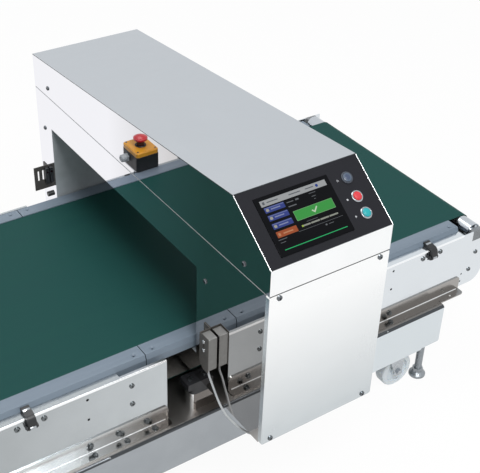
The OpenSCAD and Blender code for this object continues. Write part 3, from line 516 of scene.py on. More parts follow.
@dataclass(frozen=True)
class CircuitBoard(Finish):
    """Glass-epoxy board under green solder mask, with the copper tracks showing through."""

    cell_mm: float = 14.0
    mask: str = "#1f5636"
    track: str = "#4f9a63"

    def surface(self, tree: Tree) -> Socket:
        """Tracks as cells of a coarse brick pattern under a glossy mask.

        Args:
            tree: the material's node tree.

        Returns:
            The shader.
        """
        place = add(tree, "ShaderNodeTexCoord").outputs["Object"]
        turned = add(tree, "ShaderNodeMapping", {"Vector": place, "Rotation": (math.pi / 2, 0, 0)})
        bricks = {"Vector": turned.outputs["Vector"], "Scale": 1 / (self.cell_mm * MM), "Mortar Size": 0.03,
                  "Color1": linear(self.colour), "Color2": linear(self.mask), "Mortar": linear(self.track)}
        tracks = add(tree, "ShaderNodeTexBrick", bricks).outputs
        return shade(tree, {"Base Color": tracks["Color"]}, rough=(pattern(tree, 8), 0.2, 0.4),
                     heights=[(tracks["Fac"], 0.05)])


@dataclass(frozen=True)
class StudioPaper(Finish):
    """Seamless white paper. Seen directly or in a reflection it reads white, and it keeps a shadow."""

    glow: float = 0.95
    shadow_reach: float = 0.45

    def surface(self, tree: Tree) -> Socket:
        """Matt paper, mixed with plain white for the rays that only look at it.

        Args:
            tree: the material's node tree.

        Returns:
            The shader.
        """
        fibre = pattern(tree, 4, detail=3)
        paper = shade(tree, {"Roughness": 0.9}, (fibre, self.colour, "#f4f4f2"), heights=[(fibre, 0.02)])
        rays = add(tree, "ShaderNodeLightPath").outputs
        reach = {"Distance": self.shadow_reach}
        # In reflections the white is dimmed by ambient occlusion near the object: a painted shadow under it
        open_sky = add(tree, "ShaderNodeAmbientOcclusion", reach, samples=8).outputs["AO"]
        seen = {0: rays["Is Camera Ray"], 1: rays["Is Transmission Ray"]}
        plain = add(tree, "ShaderNodeMath", seen, operation="MAXIMUM").outputs[0]
        mirrored = {0: rays["Is Glossy Ray"], 1: open_sky}
        bright = add(tree, "ShaderNodeMath", mirrored, operation="MULTIPLY").outputs[0]
        either = add(tree, "ShaderNodeMath", {0: plain, 1: bright}, operation="MAXIMUM").outputs[0]
        share = add(tree, "ShaderNodeMath", {0: either, 1: self.glow}, operation="MULTIPLY").outputs[0]
        white = add(tree, "ShaderNodeEmission", {"Color": (1, 1, 1, 1), "Strength": 1.0}).outputs[0]
        return add(tree, "ShaderNodeMixShader", {0: share, 1: paper, 2: white}).outputs[0]


@dataclass(frozen=True)
class ThreadedSteel(Finish):
    """Zinc-plated rod with a rolled trapezoidal thread, drawn as grooves along Z."""

    # The darker colour in the thread's roots and on its flanks: painted shade
    root: str = "#6f757a"
    pitch_mm: float = 3.0
    depth_mm: float = 0.5

    def surface(self, tree: Tree) -> Socket:
        """A painted highlight on the crests and painted shade on the flanks, from one wave along Z.

        Args:
            tree: the material's node tree.

        Returns:
            The shader.
        """
        groove = pattern(tree, self.pitch_mm, kind=Pattern.BANDS, bands_direction="Z")
        return shade(tree, {"Metallic": 1.0}, (groove, self.root, self.colour),
                     (pattern(tree, 5, detail=4), 0.25, 0.42), [(groove, self.depth_mm)])


# Mirror sides shade from a darker near end to near-white at the far end along Y: painted reflection
MIRROR = SheetSteel(
    "stainless_sheet_mirror_polished", "#bfbcba", "#b8b5b3", rough=0.0, span=0.012, lines=Axis.Z,
    lines_depth=0.0001, wave_mm=160, painted_light_colour="#f2f2f7", painted_light_axis=Axis.Y, painted_light_mm=(-300, 120),
)
SATIN = SheetSteel(
    "stainless_sheet_satin_ground", "#c3c7cb", "#bdc1c5", rough=0.3, lines=Axis.Y, lines_depth=0.002,
    wave_mm=200,
)
# Front and rear covers lighten towards the top along Z: painted light
COVER = SheetSteel(
    "stainless_sheet_bright_annealed", "#ced4d7", "#c7cdd0", rough=0.2, span=0.05, lines=Axis.Z,
    lines_depth=0.00005, wave_mm=200, painted_light_colour="#fdfefe", painted_light_axis=Axis.Z, painted_light_mm=(350, 690),
)
# Near-white steel for lips, rounded edges, fold rods and post ends: painted highlight
PAINTED_HIGHLIGHT = SheetSteel("stainless_painted_highlight", "#fdfeff", "#f8fafa", rough=0.16, wave_mm=200)
# Dark steel for the hood's rounds, the rods on its top folds and the base's bent edges: painted dark
# reflection
PAINTED_DARK_REFLECTION = SheetSteel("stainless_painted_dark_reflection", "#54575a", "#494c4f", rough=0.2, span=0.1)
BRIGHT = SheetSteel(
    "stainless_sheet_bright_rolled", "#b9bcbf", "#aaadb0", rough=0.09, lines_depth=0.0008, wave_depth=0.08,
)
# Side plates lighten from the infeed towards the outfeed end along X: painted reflection
PLATE = SheetSteel(
    "stainless_sheet_plate_rolled", "#aeb3b5", "#a4a9ab", span=0.08, lines_depth=0.0008, wave_depth=0.06,
    painted_light_colour="#dee3e7",
)
# Base sheet lightens along X towards the outfeed end: painted reflection
BASE = SheetSteel(
    "stainless_sheet_base_rolled", "#a9aeb2", "#9ea3a8", rough=0.14, span=0.08, lines_depth=0.0008,
    wave_mm=140, wave_depth=0.05, painted_light_colour="#d6dde1", painted_light_mm=(0, 350),
)
# Base top faces: rougher steel, with a darker, browner tone that is painted dark reflection
TOP_PAINTED_DARK = SheetSteel(
    "stainless_base_top_painted_dark", "#9a9794", "#8b8885", rough=0.36, lines_depth=0.0006, wave_depth=0.06,
)
# Pedestal steel darkened to brown-grey: painted dark reflection of the base beside it
POST_PAINTED_DARK = SheetSteel(
    "stainless_post_painted_dark", "#7d7874", "#6f6a67", rough=0.04, span=0.04, wave_depth=0.05,
)
# Angles near-white at the infeed end and darker brown-grey past it along X: painted reflection
ANGLE = SheetSteel(
    "stainless_angle_polished", "#dcdfe0", "#ced1d2", rough=0.13, lines_depth=0.0006, wave_depth=0.06,
    painted_light_colour="#a5a29f", painted_light_mm=(-480, -270),
)
THREAD = ThreadedSteel("rolled_thread_zinc", "#b4b9bd")
COLLAR_BLACK = MouldedPlastic("collar_black", "#3c434d", "#343a44", rough=0.35)
END_BLOCK = MouldedPlastic("polyamide_end_block", "#7f8386", "#74787b")
LIGHT_GLAND = MouldedPlastic("polyamide_gland_light", "#a5abae", "#989ea1")
SEAL = MouldedPlastic("silicone_seal_grey", "#c4c8ca", "#b9bdbf", rough=0.5)
STOP_NECK = MouldedPlastic("abs_dark_red", "#3a1416", "#301012")
BARE_FABRIC = WovenFabric("belt_fabric_underside", "#6a6864", "#504e4a")
SENSOR_GLASS = ToughenedGlass("sensor_lens_glass", "#2a0d12")
SCREEN_PRINT = PrintedFilm("screen_print_pale", "#b4b6ba", "#a8aaae", rough=0.5)

# The finish of each material slot in the record
FINISHES: dict[str, Finish] = {
    "polished_stainless": MIRROR,
    "satin_stainless": SATIN,
    "liner_plastic": MouldedPlastic("polypropylene_liner", "#b4babe", "#a7adb1", rough=0.35, span=0.1),
    "copper_winding": WoundCopper("enamelled_copper_winding", "#b4641e"),
    "zinc_sheet": PlatedSteel("zinc_plated_sheet", "#b4b9bd", "#9aa0a4"),
    "circuit_board": CircuitBoard("glass_epoxy_board", "#2a6b44"),
    "panel_film": PrintedFilm("polyester_overlay_film", "#26262b"),
    "display_housing": PlatedSteel("display_tray_tinplate", "#a9adb1"),
    "display_glass": ToughenedGlass("toughened_cover_glass", "#0a0b0d"),
    "plated_collar": PlatedSteel(
        "chrome_plated_brass", "#b9bdc0", "#a3a8ac", rough=0.06, span=0.06, spot_mm=12, texture_mm=0.5,
        texture_depth=0.002,
    ),
    "button_blue_grey": MouldedPlastic(
        "polycarbonate_blue_grey", "#4a5a6c", "#435163", rough=0.3, span=0.1, coat=0.2,
    ),
    "button_red": MouldedPlastic(
        "polycarbonate_red", "#d23036", "#c0272d", rough=0.3, span=0.1, coat=0.12, scatter=0.1,
    ),
    "button_cyan": MouldedPlastic(
        "polycarbonate_cyan", "#16a3ab", "#108d95", rough=0.3, span=0.1, coat=0.12, scatter=0.1,
    ),
    "dark_screw": PlatedSteel(
        "nickel_plated_screw", "#787c80", "#5f6367", rough=0.15, span=0.1, spot_mm=5, texture_mm=0.5,
        texture_depth=0.006,
    ),
    "gland_plastic": MouldedPlastic("polyamide_gland", "#4d5154", "#43474a", rough=0.45),
    "dark_bracket": MouldedPlastic(
        "powder_coat_dark_grey", "#4f4d4a", "#454340", rough=0.42, span=0.1, grain_mm=1.6, grain_depth=0.03,
    ),
    "sensor_housing": PlatedSteel(
        "anodised_aluminium", "#a6a7a6", "#9a9b9a", rough=0.35, span=0.1, spot_mm=8, texture_mm=0.6,
        texture_depth=0.003,
    ),
    "cable_jacket": MouldedPlastic(
        "soft_pvc_jacket", "#b6babc", "#a9adaf", rough=0.45, span=0.1, grain_mm=1.2,
    ),
    "reflector_plastic": MouldedPlastic("acetal_black", "#2b2d2f", "#232526", rough=0.35),
    "frame_stainless": BRIGHT,
    "rail_plastic": MouldedPlastic(
        "polyethylene_planed", "#7b8895", "#717e8b", rough=0.36, grain_mm=1.1, stretch=(30, 1, 1), gloss=0.35,
    ),
    "bed_plastic": MouldedPlastic("polyethylene_white", "#dcdcd4", "#cfcfc8"),
    "belt_green": BeltCover("pvc_belt_cover", "#184340"),
    "roller_steel": PlatedSteel(
        "turned_steel_bright", "#cdd1d5", "#bcc1c6", rough=0.12, span=0.1, spot_mm=6, texture_mm=0.5,
        texture_depth=0.004, stretch=(6, 1, 6),
    ),
    "bearing_plastic": MouldedPlastic(
        "glass_filled_polyamide", "#26282a", "#1e2022", rough=0.42, grain_mm=1.0, grain_depth=0.03,
    ),
    "angle_steel": ANGLE,
    "bolt_steel": PlatedSteel(
        "stainless_fastener", "#7b7f81", "#64686a", rough=0.22, span=0.12, spot_mm=4, texture_mm=0.5,
        texture_depth=0.006,
    ),
    "insulating_block": MouldedPlastic(
        "phenolic_block_black", "#232428", "#1b1c1f", rough=0.38, grain_mm=1.4, grain_depth=0.03,
    ),
    "latch_black": MouldedPlastic("polyamide_latch_black", "#1f2123", "#18191b", rough=0.32),
    "stop_box_black": MouldedPlastic("abs_black", "#1b1c1e", "#141517"),
    "stop_lid_amber": MouldedPlastic("abs_amber", "#dc9d2c", "#cf9026", rough=0.36, span=0.1, coat=0.2),
    "stop_red": MouldedPlastic("abs_signal_red", "#c9262c", "#b61f26", rough=0.28, span=0.1, coat=0.4),
    "caster_zinc": PlatedSteel(
        "bright_zinc_pressing", "#c5c9cd", "#a9aeb3", rough=0.2, span=0.16, spot_mm=10, texture_mm=0.8,
    ),
    "wheel_nylon": MouldedPlastic("cast_nylon", "#dfe6ea", "#d0d8dd", rough=0.35, grain_mm=1.2, scatter=0.1),
    "foot_steel": PlatedSteel("zinc_plated_foot", "#a4a9ad", "#8c9195", rough=0.26, span=0.16, spot_mm=8),
}


# ---------------------------------------------------------------- building

# Corners of a CAD node closer than this, in metres, are one
WELD = 2e-6
# The angles in degrees under which two faces are one, and from which an edge is rounded or shown sharp
FLAT, ROUNDED, SHARP = 0.4, 36, 38


def soften(node: str, edge_mm: float, segments: int = 2, materials: Sequence[Finish] = (),
           edge: Finish | None = None) -> bpy.types.Object:
    """Makes a piece that stands for a CAD node: its solid with small rounds along the sharp edges.

    Args:
        node: the CAD node.
        edge_mm: the width of a rounded edge.
        segments: the steps across a rounded edge.
        materials: the finishes of the piece, the node's own when none is given.
        edge: the finish of the rounds, that of the faces beside them when none is given.

    Returns:
        The piece.
    """
    source = frame["nodes"][node]
    shape = bmesh.new()
    shape.from_mesh(source.data)
    bmesh.ops.remove_doubles(shape, verts=shape.verts, dist=WELD)
    bmesh.ops.dissolve_limit(shape, angle_limit=math.radians(FLAT), verts=shape.verts,
                            edges=shape.edges)
    slot = source.data.materials[0].name.split(".")[0]
    finishes = [*(materials or [FINISHES[slot]]), *([edge] if edge else [])]
    piece = place_piece(f"{node}_shell", shape, finishes, source["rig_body"], slot)
    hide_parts(node)
    if edge_mm:
        rounds = piece.modifiers.new("edge_rounds", "BEVEL")
        rounds.width = edge_mm * MM
        rounds.segments = segments
        rounds.limit_method = "ANGLE"
        rounds.angle_limit = math.radians(ROUNDED)
        rounds.harden_normals = True
        rounds.use_clamp_overlap = True
        rounds.material = len(finishes) - 1 if edge else -1
    return piece


def place_piece(name: str, shape: bmesh.types.BMesh, finishes: Sequence[Finish], body: str,
                slot: str) -> bpy.types.Object:
    """Turns a finished shape, in metres, into a piece of the object.

    Args:
        name: the piece's name.
        shape: the shape, which is freed.
        finishes: its finishes, in the order of its faces' material places.
        body: the body that it rides on.
        slot: the record's material slot, which is not used.

    Returns:
        The piece.
    """
    mesh = bpy.data.meshes.new(name)
    for face in shape.faces:
        face.smooth = True
    shape.to_mesh(mesh)
    shape.free()
    mesh.set_sharp_from_angle(angle=math.radians(SHARP))
    for finish in finishes:
        mesh.materials.append(finish.material())
    piece = bpy.data.objects.new(name, mesh)
    bpy.context.scene.collection.objects.link(piece)
    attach(piece, body)
    log.info("%s: %d faces, rides on %s", name, len(mesh.polygons), body)
    return piece


# Vertices of a new solid closer than this, in millimetres, are one
MERGE = 1e-4


class Form:
    """A shape under construction, in millimetres, out of solids that are added one by one."""

    def __init__(self) -> None:
        """Starts with nothing."""
        self.shape = bmesh.new()

    def _round(self, verts: Iterable[bmesh.types.BMVert], edge: float, angle: float = 40) -> None:
        """Rounds the sharp edges among some vertices.

        Args:
            verts: the vertices.
            edge: the width of a rounded edge, nought for none.
            angle: the angle in degrees past which an edge is sharp.
        """
        if edge <= 0:
            return
        chosen = dict.fromkeys(verts)
        sharp = math.radians(angle)
        edges = dict.fromkeys(
            e
            for v in chosen
            for e in v.link_edges
            if all(w in chosen for w in e.verts) and len(e.link_faces) == 2 and e.calc_face_angle(0) > sharp
        )
        bmesh.ops.bevel(self.shape, geom=list(edges), offset=edge, offset_type="OFFSET", segments=2,
                        profile=0.5, affect="EDGES", clamp_overlap=True, material=-1)

    def block(self, low: Triple, high: Triple, edge: float = 0.0) -> Form:
        """Adds a box.

        Args:
            low: its lowest corner.
            high: its highest corner.
            edge: the width of its rounded edges.

        Returns:
            The form.
        """
        low, high = Vector(low), Vector(high)
        place = Matrix.Translation((low + high) / 2) @ Matrix.Diagonal((*(high - low), 1))
        made = bmesh.ops.create_cube(self.shape, size=1.0, matrix=place)
        self._round(made["verts"], edge)
        return self

    def rod(self, start: Triple, end: Triple, radius: float, far_radius: float | None = None, sides: int = 32,
            edge: float = 0.0, turn: Matrix | None = None) -> Form:
        """Adds a round bar from start to end.

        Args:
            start: the middle of one end.
            end: the middle of the other end.
            radius: the radius at the start.
            far_radius: the radius at the end, where it isn't the same.
            sides: how many faces go round the bar.
            edge: the width of its rounded rims.
            turn: the turn and shift that the bar is made under.

        Returns:
            The form.
        """
        start, end = Vector(start), Vector(end)
        along = end - start
        place = Matrix.Translation((start + end) / 2) @ along.to_track_quat("Z", "Y").to_matrix().to_4x4()
        far = radius if far_radius is None else far_radius
        made = bmesh.ops.create_cone(self.shape, cap_ends=True, segments=sides, radius1=radius, radius2=far,
                                     depth=along.length, matrix=(turn or Matrix()) @ place)
        self._round(made["verts"], edge, 60)
        return self

    def turned(self, profile: Sequence[Sequence[float]], centre: Triple, axis: Axis, steps: int = 48,
               turn: Matrix | None = None) -> Form:
        """Adds a solid of revolution.

        Args:
            profile: pairs of a radius and a height along the axis.
            centre: the point that the heights start from.
            axis: the axis.
            steps: how many faces go round it.
            turn: the turn and shift that the solid is made under.

        Returns:
            The form.
        """
        along = axis.value
        place = Matrix.Translation(Vector(centre)) @ along.to_track_quat("Z", "Y").to_matrix().to_4x4()
        place = (turn or Matrix()) @ place
        points = [self.shape.verts.new((r, 0, h)) for r, h in profile]
        edges = [self.shape.edges.new(pair) for pair in zip(points, points[1:])]
        made = bmesh.ops.spin(self.shape, geom=points + edges, cent=(0, 0, 0), axis=(0, 0, 1), dvec=(0, 0, 0),
                              angle=math.tau, steps=steps, use_merge=True, use_duplicate=False)
        fresh = [v for e in edges if e.is_valid for v in e.verts]
        fresh += [g for g in made["geom_last"] if isinstance(g, bmesh.types.BMVert)]
        linked = self._linked(fresh)
        bmesh.ops.remove_doubles(self.shape, verts=linked, dist=MERGE)
        linked = self._linked(v for v in linked if v.is_valid)
        bmesh.ops.transform(self.shape, matrix=place, verts=linked)
        faces = dict.fromkeys(f for v in linked for f in v.link_faces)
        bmesh.ops.recalc_face_normals(self.shape, faces=list(faces))
        return self

    @staticmethod
    def _linked(start: Iterable[bmesh.types.BMVert]) -> list[bmesh.types.BMVert]:
        """Finds all vertices that edges join to some.

        Args:
            start: the vertices to start from.

        Returns:
            Those and all that hang together with them.
        """
        found = dict.fromkeys(start)
        ahead = list(found)
        while ahead:
            for edge in ahead.pop().link_edges:
                for vert in edge.verts:
                    if vert not in found:
                        found[vert] = None
                        ahead.append(vert)
        return list(found)

    def plate(self, outline: Sequence[Sequence[float]], low: float, high: float, turn: Matrix) -> Form:
        """Adds a plate.

        Args:
            outline: its outline in the turned XY plane.
            low: its underside on the turned Z.
            high: its top on the turned Z.
            turn: the turn and shift that it is made under.

        Returns:
            The form.
        """
        points = [self.shape.verts.new((x, y, low)) for x, y in outline]
        face = self.shape.faces.new(points)
        made = bmesh.ops.extrude_face_region(self.shape, geom=[face])
        top = [g for g in made["geom"] if isinstance(g, bmesh.types.BMVert)]
        bmesh.ops.translate(self.shape, verts=top, vec=(0, 0, high - low))
        both = points + top
        faces = dict.fromkeys(f for v in both for f in v.link_faces)
        bmesh.ops.recalc_face_normals(self.shape, faces=list(faces))
        bmesh.ops.transform(self.shape, matrix=turn, verts=both)
        return self

    def piece(self, name: str, finish: Finish, body: str, slot: str) -> bpy.types.Object:
        """Turns the shape to metres and makes it a piece."""
        bmesh.ops.scale(self.shape, vec=(MM, MM, MM), verts=self.shape.verts)
        return place_piece(name, self.shape, [finish], body, slot)


def rounded(x0: float, x1: float, y0: float, y1: float, radius: float,
            steps: int) -> list[tuple[float, float]]:
    """The outline of a rectangle with round corners, anticlockwise.

    Args:
        x0: the left edge.
        x1: the right edge.
        y0: the lower edge.
        y1: the upper edge.
        radius: the radius of the corners.
        steps: the steps round each corner.

    Returns:
        The points of the outline.
    """
    outline = []
    for k, (cx, cy) in enumerate([(x1 - radius, y1 - radius), (x0 + radius, y1 - radius),
                                  (x0 + radius, y0 + radius), (x1 - radius, y0 + radius)]):
        for j in range(steps + 1):
            angle = math.radians(90 * (k + j / steps))
            outline.append((cx + radius * math.cos(angle), cy + radius * math.sin(angle)))
    return outline


# ---------------------------------------------------------------- studio


@dataclass
class Studio:
    """The camera, the white floor, the soft lamps and the room. Lengths are in metres, angles in degrees."""

    lens: float = 77.178
    sensor: float = 36.0
    place: Triple = (-1.0869, -1.7246, 1.9383)
    azimuth: float = 35.50
    elevation: float = 34.93
    roll: float = 2.15
    clip: tuple[float, float] = (0.05, 500.0)
    floor_half: float = 60.0
    aim: Triple = (0, 0, 0.5)
    # Each soft box: its name, its place, its side and its power
    lamps: tuple[tuple[str, Triple, float, float], ...] = (
        ("key_soft_box", (-0.5, -2.6, 3.9), 1.6, 120),
        ("top_soft_box", (-0.3, 1.0, 4.2), 2.4, 60),
    )
    room_light: float = 0.35
    room_seen: float = 0.97

    def camera(self) -> None:
        """Sets the camera, turned by its azimuth, elevation and roll."""
        a, e, r = (math.radians(v) for v in (self.azimuth, self.elevation, self.roll))
        ahead = Vector((math.sin(a) * math.cos(e), math.cos(a) * math.cos(e), -math.sin(e)))
        side = Vector((math.cos(a), -math.sin(a), 0))
        top = side.cross(ahead)
        right = math.cos(r) * side + math.sin(r) * top
        up = -math.sin(r) * side + math.cos(r) * top
        data = bpy.data.cameras.new("camera")
        data.lens = self.lens
        data.sensor_width = self.sensor
        data.clip_start, data.clip_end = self.clip
        camera = bpy.data.objects.new("camera", data)
        camera.matrix_world = Matrix((right, up, -ahead)).transposed().to_4x4()
        camera.location = self.place
        bpy.context.scene.collection.objects.link(camera)
        bpy.context.scene.camera = camera

    def floor(self) -> None:
        """Lays the white paper on the floor."""
        shape = bmesh.new()
        bmesh.ops.create_grid(shape, x_segments=1, y_segments=1, size=self.floor_half)
        mesh = bpy.data.meshes.new("studio_floor")
        shape.to_mesh(mesh)
        shape.free()
        mesh.materials.append(StudioPaper("seamless_paper_white", "#fafafa").material())
        floor = bpy.data.objects.new("studio_floor", mesh)
        bpy.context.scene.collection.objects.link(floor)

    def lamp(self, name: str, place: Triple, size: float, power: float) -> None:
        """Hangs a square soft box, turned to the object.

        Args:
            name: the lamp's name.
            place: where it hangs.
            size: the length of its sides.
            power: its power in watts.
        """
        data = bpy.data.lights.new(name, "AREA")
        data.shape = "SQUARE"
        data.size = size
        data.energy = power
        lamp = bpy.data.objects.new(name, data)
        lamp.location = place
        lamp.rotation_mode = "QUATERNION"
        lamp.rotation_quaternion = (Vector(place) - Vector(self.aim)).to_track_quat("Z", "Y")
        bpy.context.scene.collection.objects.link(lamp)

    def world(self) -> None:
        """An even pale grey room, a little brighter where it is only seen in reflections."""
        world = bpy.data.worlds.new("studio_room")
        world.use_nodes = True
        tree = world.node_tree
        tree.nodes.clear()
        rays = add(tree, "ShaderNodeLightPath").outputs
        seen = rays["Is Glossy Ray"]
        for ray in ("Is Transmission Ray", "Is Camera Ray"):
            seen = add(tree, "ShaderNodeMath", {0: seen, 1: rays[ray]}, operation="MAXIMUM").outputs[0]
        plain, shown = (
            add(tree, "ShaderNodeBackground", {"Color": linear(colour), "Strength": strength}).outputs[0]
            for colour, strength in (("#ffffff", self.room_light), ("#f8fafc", self.room_seen))
        )
        mixed = add(tree, "ShaderNodeMixShader", {0: seen, 1: plain, 2: shown}).outputs[0]
        add(tree, "ShaderNodeOutputWorld", {"Surface": mixed})
        bpy.context.scene.world = world

    def build(self) -> None:
        """Sets up the whole studio."""
        bpy.context.scene.view_settings.view_transform = "Standard"
        self.floor()
        self.world()
        for row in self.lamps:
            self.lamp(*row)
        log.info("studio ready")


# ---------------------------------------------------------------- sub-assemblies


def near(face: bpy.types.MeshPolygon, centre: Triple, reach: float) -> bool:
    """Whether a face's middle lies within a distance of a point, both in millimetres."""
    return (face.center / MM - Vector(centre)).length < reach


def paint(piece: bpy.types.Object, place: Callable[[bpy.types.MeshPolygon], int]) -> None:
    """Gives each face of a piece the material place that a rule names for it."""
    for face in piece.data.polygons:
        face.material_index = place(face)


def bent_edge(face: bpy.types.MeshPolygon) -> int:
    """One for the rounded edge between a plate's side and its top, nought elsewhere."""
    return int(abs(face.normal.y) > 0.2 and 0.2 < face.normal.z < 0.98)


def soften_all(rows: Sequence[tuple]) -> None:
    """Softens nodes that keep their own finish, each a row of its name, edge width and segments."""
    for row in rows:
        soften(*row)


@dataclass
class SensorCable:
    """The free cable from the product sensor down to the gland under the near leg."""

    diameter: float = 5.0
    rings: int = 4
    route: tuple[Triple, ...] = (
        (-164, -331, 420), (-164, -331, 415), (-164, -331, 409), (-164, -334, 399.6),
        (-164, -345, 386.3), (-163, -356, 369.9), (-162, -368, 353.6), (-160, -380, 339.2),
        (-158, -392, 328.9), (-155, -406, 322.5), (-150, -421, 317.1), (-143, -435, 310.8),
        (-133, -445, 303.4), (-121, -451, 298.1), (-109, -452, 298.7), (-102, -452, 304.4),
        (-100, -452, 312), (-100, -452, 317), (-100, -452, 323),
    )

    def centreline(self, steps: int = 4) -> list[Vector]:
        """The smooth line through the route's points.

        Args:
            steps: the parts that each stretch of the route is cut into.

        Returns:
            Points along the line, in metres.
        """
        points = [Vector(p) * MM for p in self.route]
        line = []
        for k in range(len(points) - 1):
            before, here = points[max(k - 1, 0)], points[k]
            after, beyond = points[k + 1], points[min(k + 2, len(points) - 1)]
            pull_in, pull_out = (after - before) / 2, (beyond - here) / 2
            for j in range(steps):
                t = j / steps
                line.append((2 * t**3 - 3 * t**2 + 1) * here + (t**3 - 2 * t**2 + t) * pull_in
                            + (3 * t**2 - 2 * t**3) * after + (t**3 - t**2) * pull_out)
        return line + [points[-1]]

    def build(self) -> None:
        """Makes the cable as a curve along its centreline."""
        line = self.centreline()
        length = sum((b - a).length for a, b in zip(line, line[1:]))
        curve = bpy.data.curves.new("sensor_cable_jacket", "CURVE")
        curve.dimensions = "3D"
        curve.bevel_depth = self.diameter / 2 * MM
        curve.bevel_resolution = self.rings
        curve.use_fill_caps = True
        spline = curve.splines.new("POLY")
        spline.points.add(len(line) - 1)
        for point, place in zip(spline.points, line):
            point.co = (*place, 1)
        curve.materials.append(FINISHES["cable_jacket"].material())
        piece = bpy.data.objects.new("sensor_cable_jacket", curve)
        bpy.context.scene.collection.objects.link(piece)
        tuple(line[0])
        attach(piece, STATIC_BODY)
        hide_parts("sensor_cable")
        log.info("sensor cable: %.3f m", length)


@dataclass
class DetectorHead:
    """The stainless case, its hood and covers, the lining of the passage and what the leg holds."""

    half_width: float = 150.0
    front: float = -515.0
    back: float = 515.0
    seam_z: float = 732.0
    lip_top: float = 793.0
    ridge: tuple[float, float] = (-382.0, 890.0)
    far_top: float = 820.0
    panel_half: float = 140.0
    hood_edge: float = 1.5
    case_edge: float = 0.5
    # The dark seam strip's inset at its ends, its lower and upper edge from the seam, and how far in it goes
    gasket: tuple[float, ...] = (0.6, -2.0, 0.4, 1.5)
    # The seal's faces inwards from the case's sides, its ends and its lower and upper edge from the seam
    seal: tuple[float, ...] = (0.4, 0.95, 12.5, 1.5, -2.4, -0.1)
    # Each rounded fold's radius, and how far its middle lies inwards and down from the sharp corner
    bend: tuple[float, ...] = (1.0, 0.55, 1.05)
    rim: tuple[float, ...] = (0.9, 0.5, 1.2)
    board: tuple[Triple, Triple] = ((-10, -315, 405), (118, -313.4, 595))
    # Chips side by side up the board: their pitch, and each row's width, rise, lower edge, upper edge
    # and rounded edge
    chip_pitch: float = 22.0
    chip_rows: tuple[tuple[float, ...], ...] = ((13, 3.2, 62, 76, 0.5), (9, 2.6, 88, 96, 0.4))
    # A capacitor's radius, rise and height up the board, and a terminal's depth, width and pitch
    can: tuple[float, ...] = (4.5, 14.0, 166.0)
    terminal: tuple[float, ...] = (9.0, 12.0, 15.0)
    # Glands that stand above this height are the light ones
    light_gland_z: float = 400.0
    gland_x: float = 100.0
    gland_y: float = -452.0
    # The ribs of a gland's cap: how many, how far out, their lower and upper end and their radius
    ribs: int = 16
    rib_out: float = 9.0
    rib_z: tuple[float, float] = (321.0, 329.0)
    rib_radius: float = 0.5

    def build(self) -> None:
        """Dresses the head's solids and adds the small parts on and in it."""
        # Hood: rounds in painted dark reflection; lip and panel sides in painted highlight
        paint(soften("hood", self.hood_edge, 3, [MIRROR, SATIN, PAINTED_HIGHLIGHT], PAINTED_DARK_REFLECTION), self._hood_finish)
        soften("head_case", self.case_edge)
        # Front cover: rounded edges in painted highlight
        soften("front_cover", self.case_edge, 2, [COVER], PAINTED_HIGHLIGHT)
        soften("rear_cover", 0.4, 2, [COVER])
        liner = soften("aperture_liner", 0.0, 2, [FINISHES["liner_plastic"], MIRROR])
        paint(liner, lambda face: int(abs(face.normal.x) > 0.9))
        soften_all((("cover_screws", 0.25), ("power_supply", 0.8)))
        glands = soften("cable_glands", 0.4, 2, [FINISHES["gland_plastic"], LIGHT_GLAND])
        paint(glands, lambda face: int(face.center.z / MM > self.light_gland_z))
        self._seam_shade_strip()
        self._folds()
        self._seal()
        self._gland_grips()
        self._board_parts()

    def _seam_shade_strip(self) -> None:
        """A dark strip below the hood's lip that stands in for the seam's shadow: painted shade."""
        inset, low, high, deep = self.gasket
        end, z = self.half_width - inset, self.seam_z
        gasket = Form().block((-end, self.front - 0.05, z + low), (end, self.front + deep, z + high))
        gasket.piece("hood_seam_shade_strip", FINISHES["bearing_plastic"], STATIC_BODY, "gland_plastic")

    def _seal(self) -> None:
        """A grey seal between the case and the hood along both sides."""
        seal, z = Form(), self.seam_z
        outer, inner, front, back, low, high = self.seal
        for side in (-1, 1):
            near_x, far_x = sorted((side * (self.half_width - outer), side * (self.half_width - inner)))
            seal.block((near_x, self.front + front, z + low), (far_x, self.back - back, z + high), 0.15)
        seal.piece("case_seal", SEAL, STATIC_BODY, "liner_plastic")

    def _folds(self) -> None:
        """Rods along the hood's folded edges: painted dark reflection along its top, painted highlight up
        beside its panel.
        """
        bends, rims = Form(), Form()
        ridge_y, ridge_z = self.ridge
        for side in (-1, 1):
            radius, inset, drop = self.bend
            x = side * (self.half_width - inset)
            far_end = (x, self.back - 0.5, self.far_top - drop)
            bends.rod((x, ridge_y, ridge_z - drop), far_end, radius, sides=16)
            radius, inset, drop = self.rim
            x = side * (self.half_width - inset)
            foot = (x, self.front + 0.4, self.lip_top - 0.3)
            rims.rod(foot, (x, ridge_y - 1.0, ridge_z - drop), radius, sides=16)
        bends.piece("hood_bends_painted_dark", PAINTED_DARK_REFLECTION, STATIC_BODY, "satin_stainless")
        rims.piece("hood_rims_painted_highlight", PAINTED_HIGHLIGHT, STATIC_BODY, "satin_stainless")

    def _hood_finish(self, face: bpy.types.MeshPolygon) -> int:
        """Chooses a finish for a face of the hood.

        Args:
            face: the face.

        Returns:
            The mirror's place for a side, the ground steel's for the top, the painted highlight's for the lip
            and beside the panel, and the painted dark reflection's above and below the panel.
        """
        if abs(face.normal.x) > 0.7:
            return 0
        if face.normal.y > -0.3:
            return 1
        return 3 if face.normal.z > 0.3 and abs(face.center.x) / MM < self.panel_half else 2

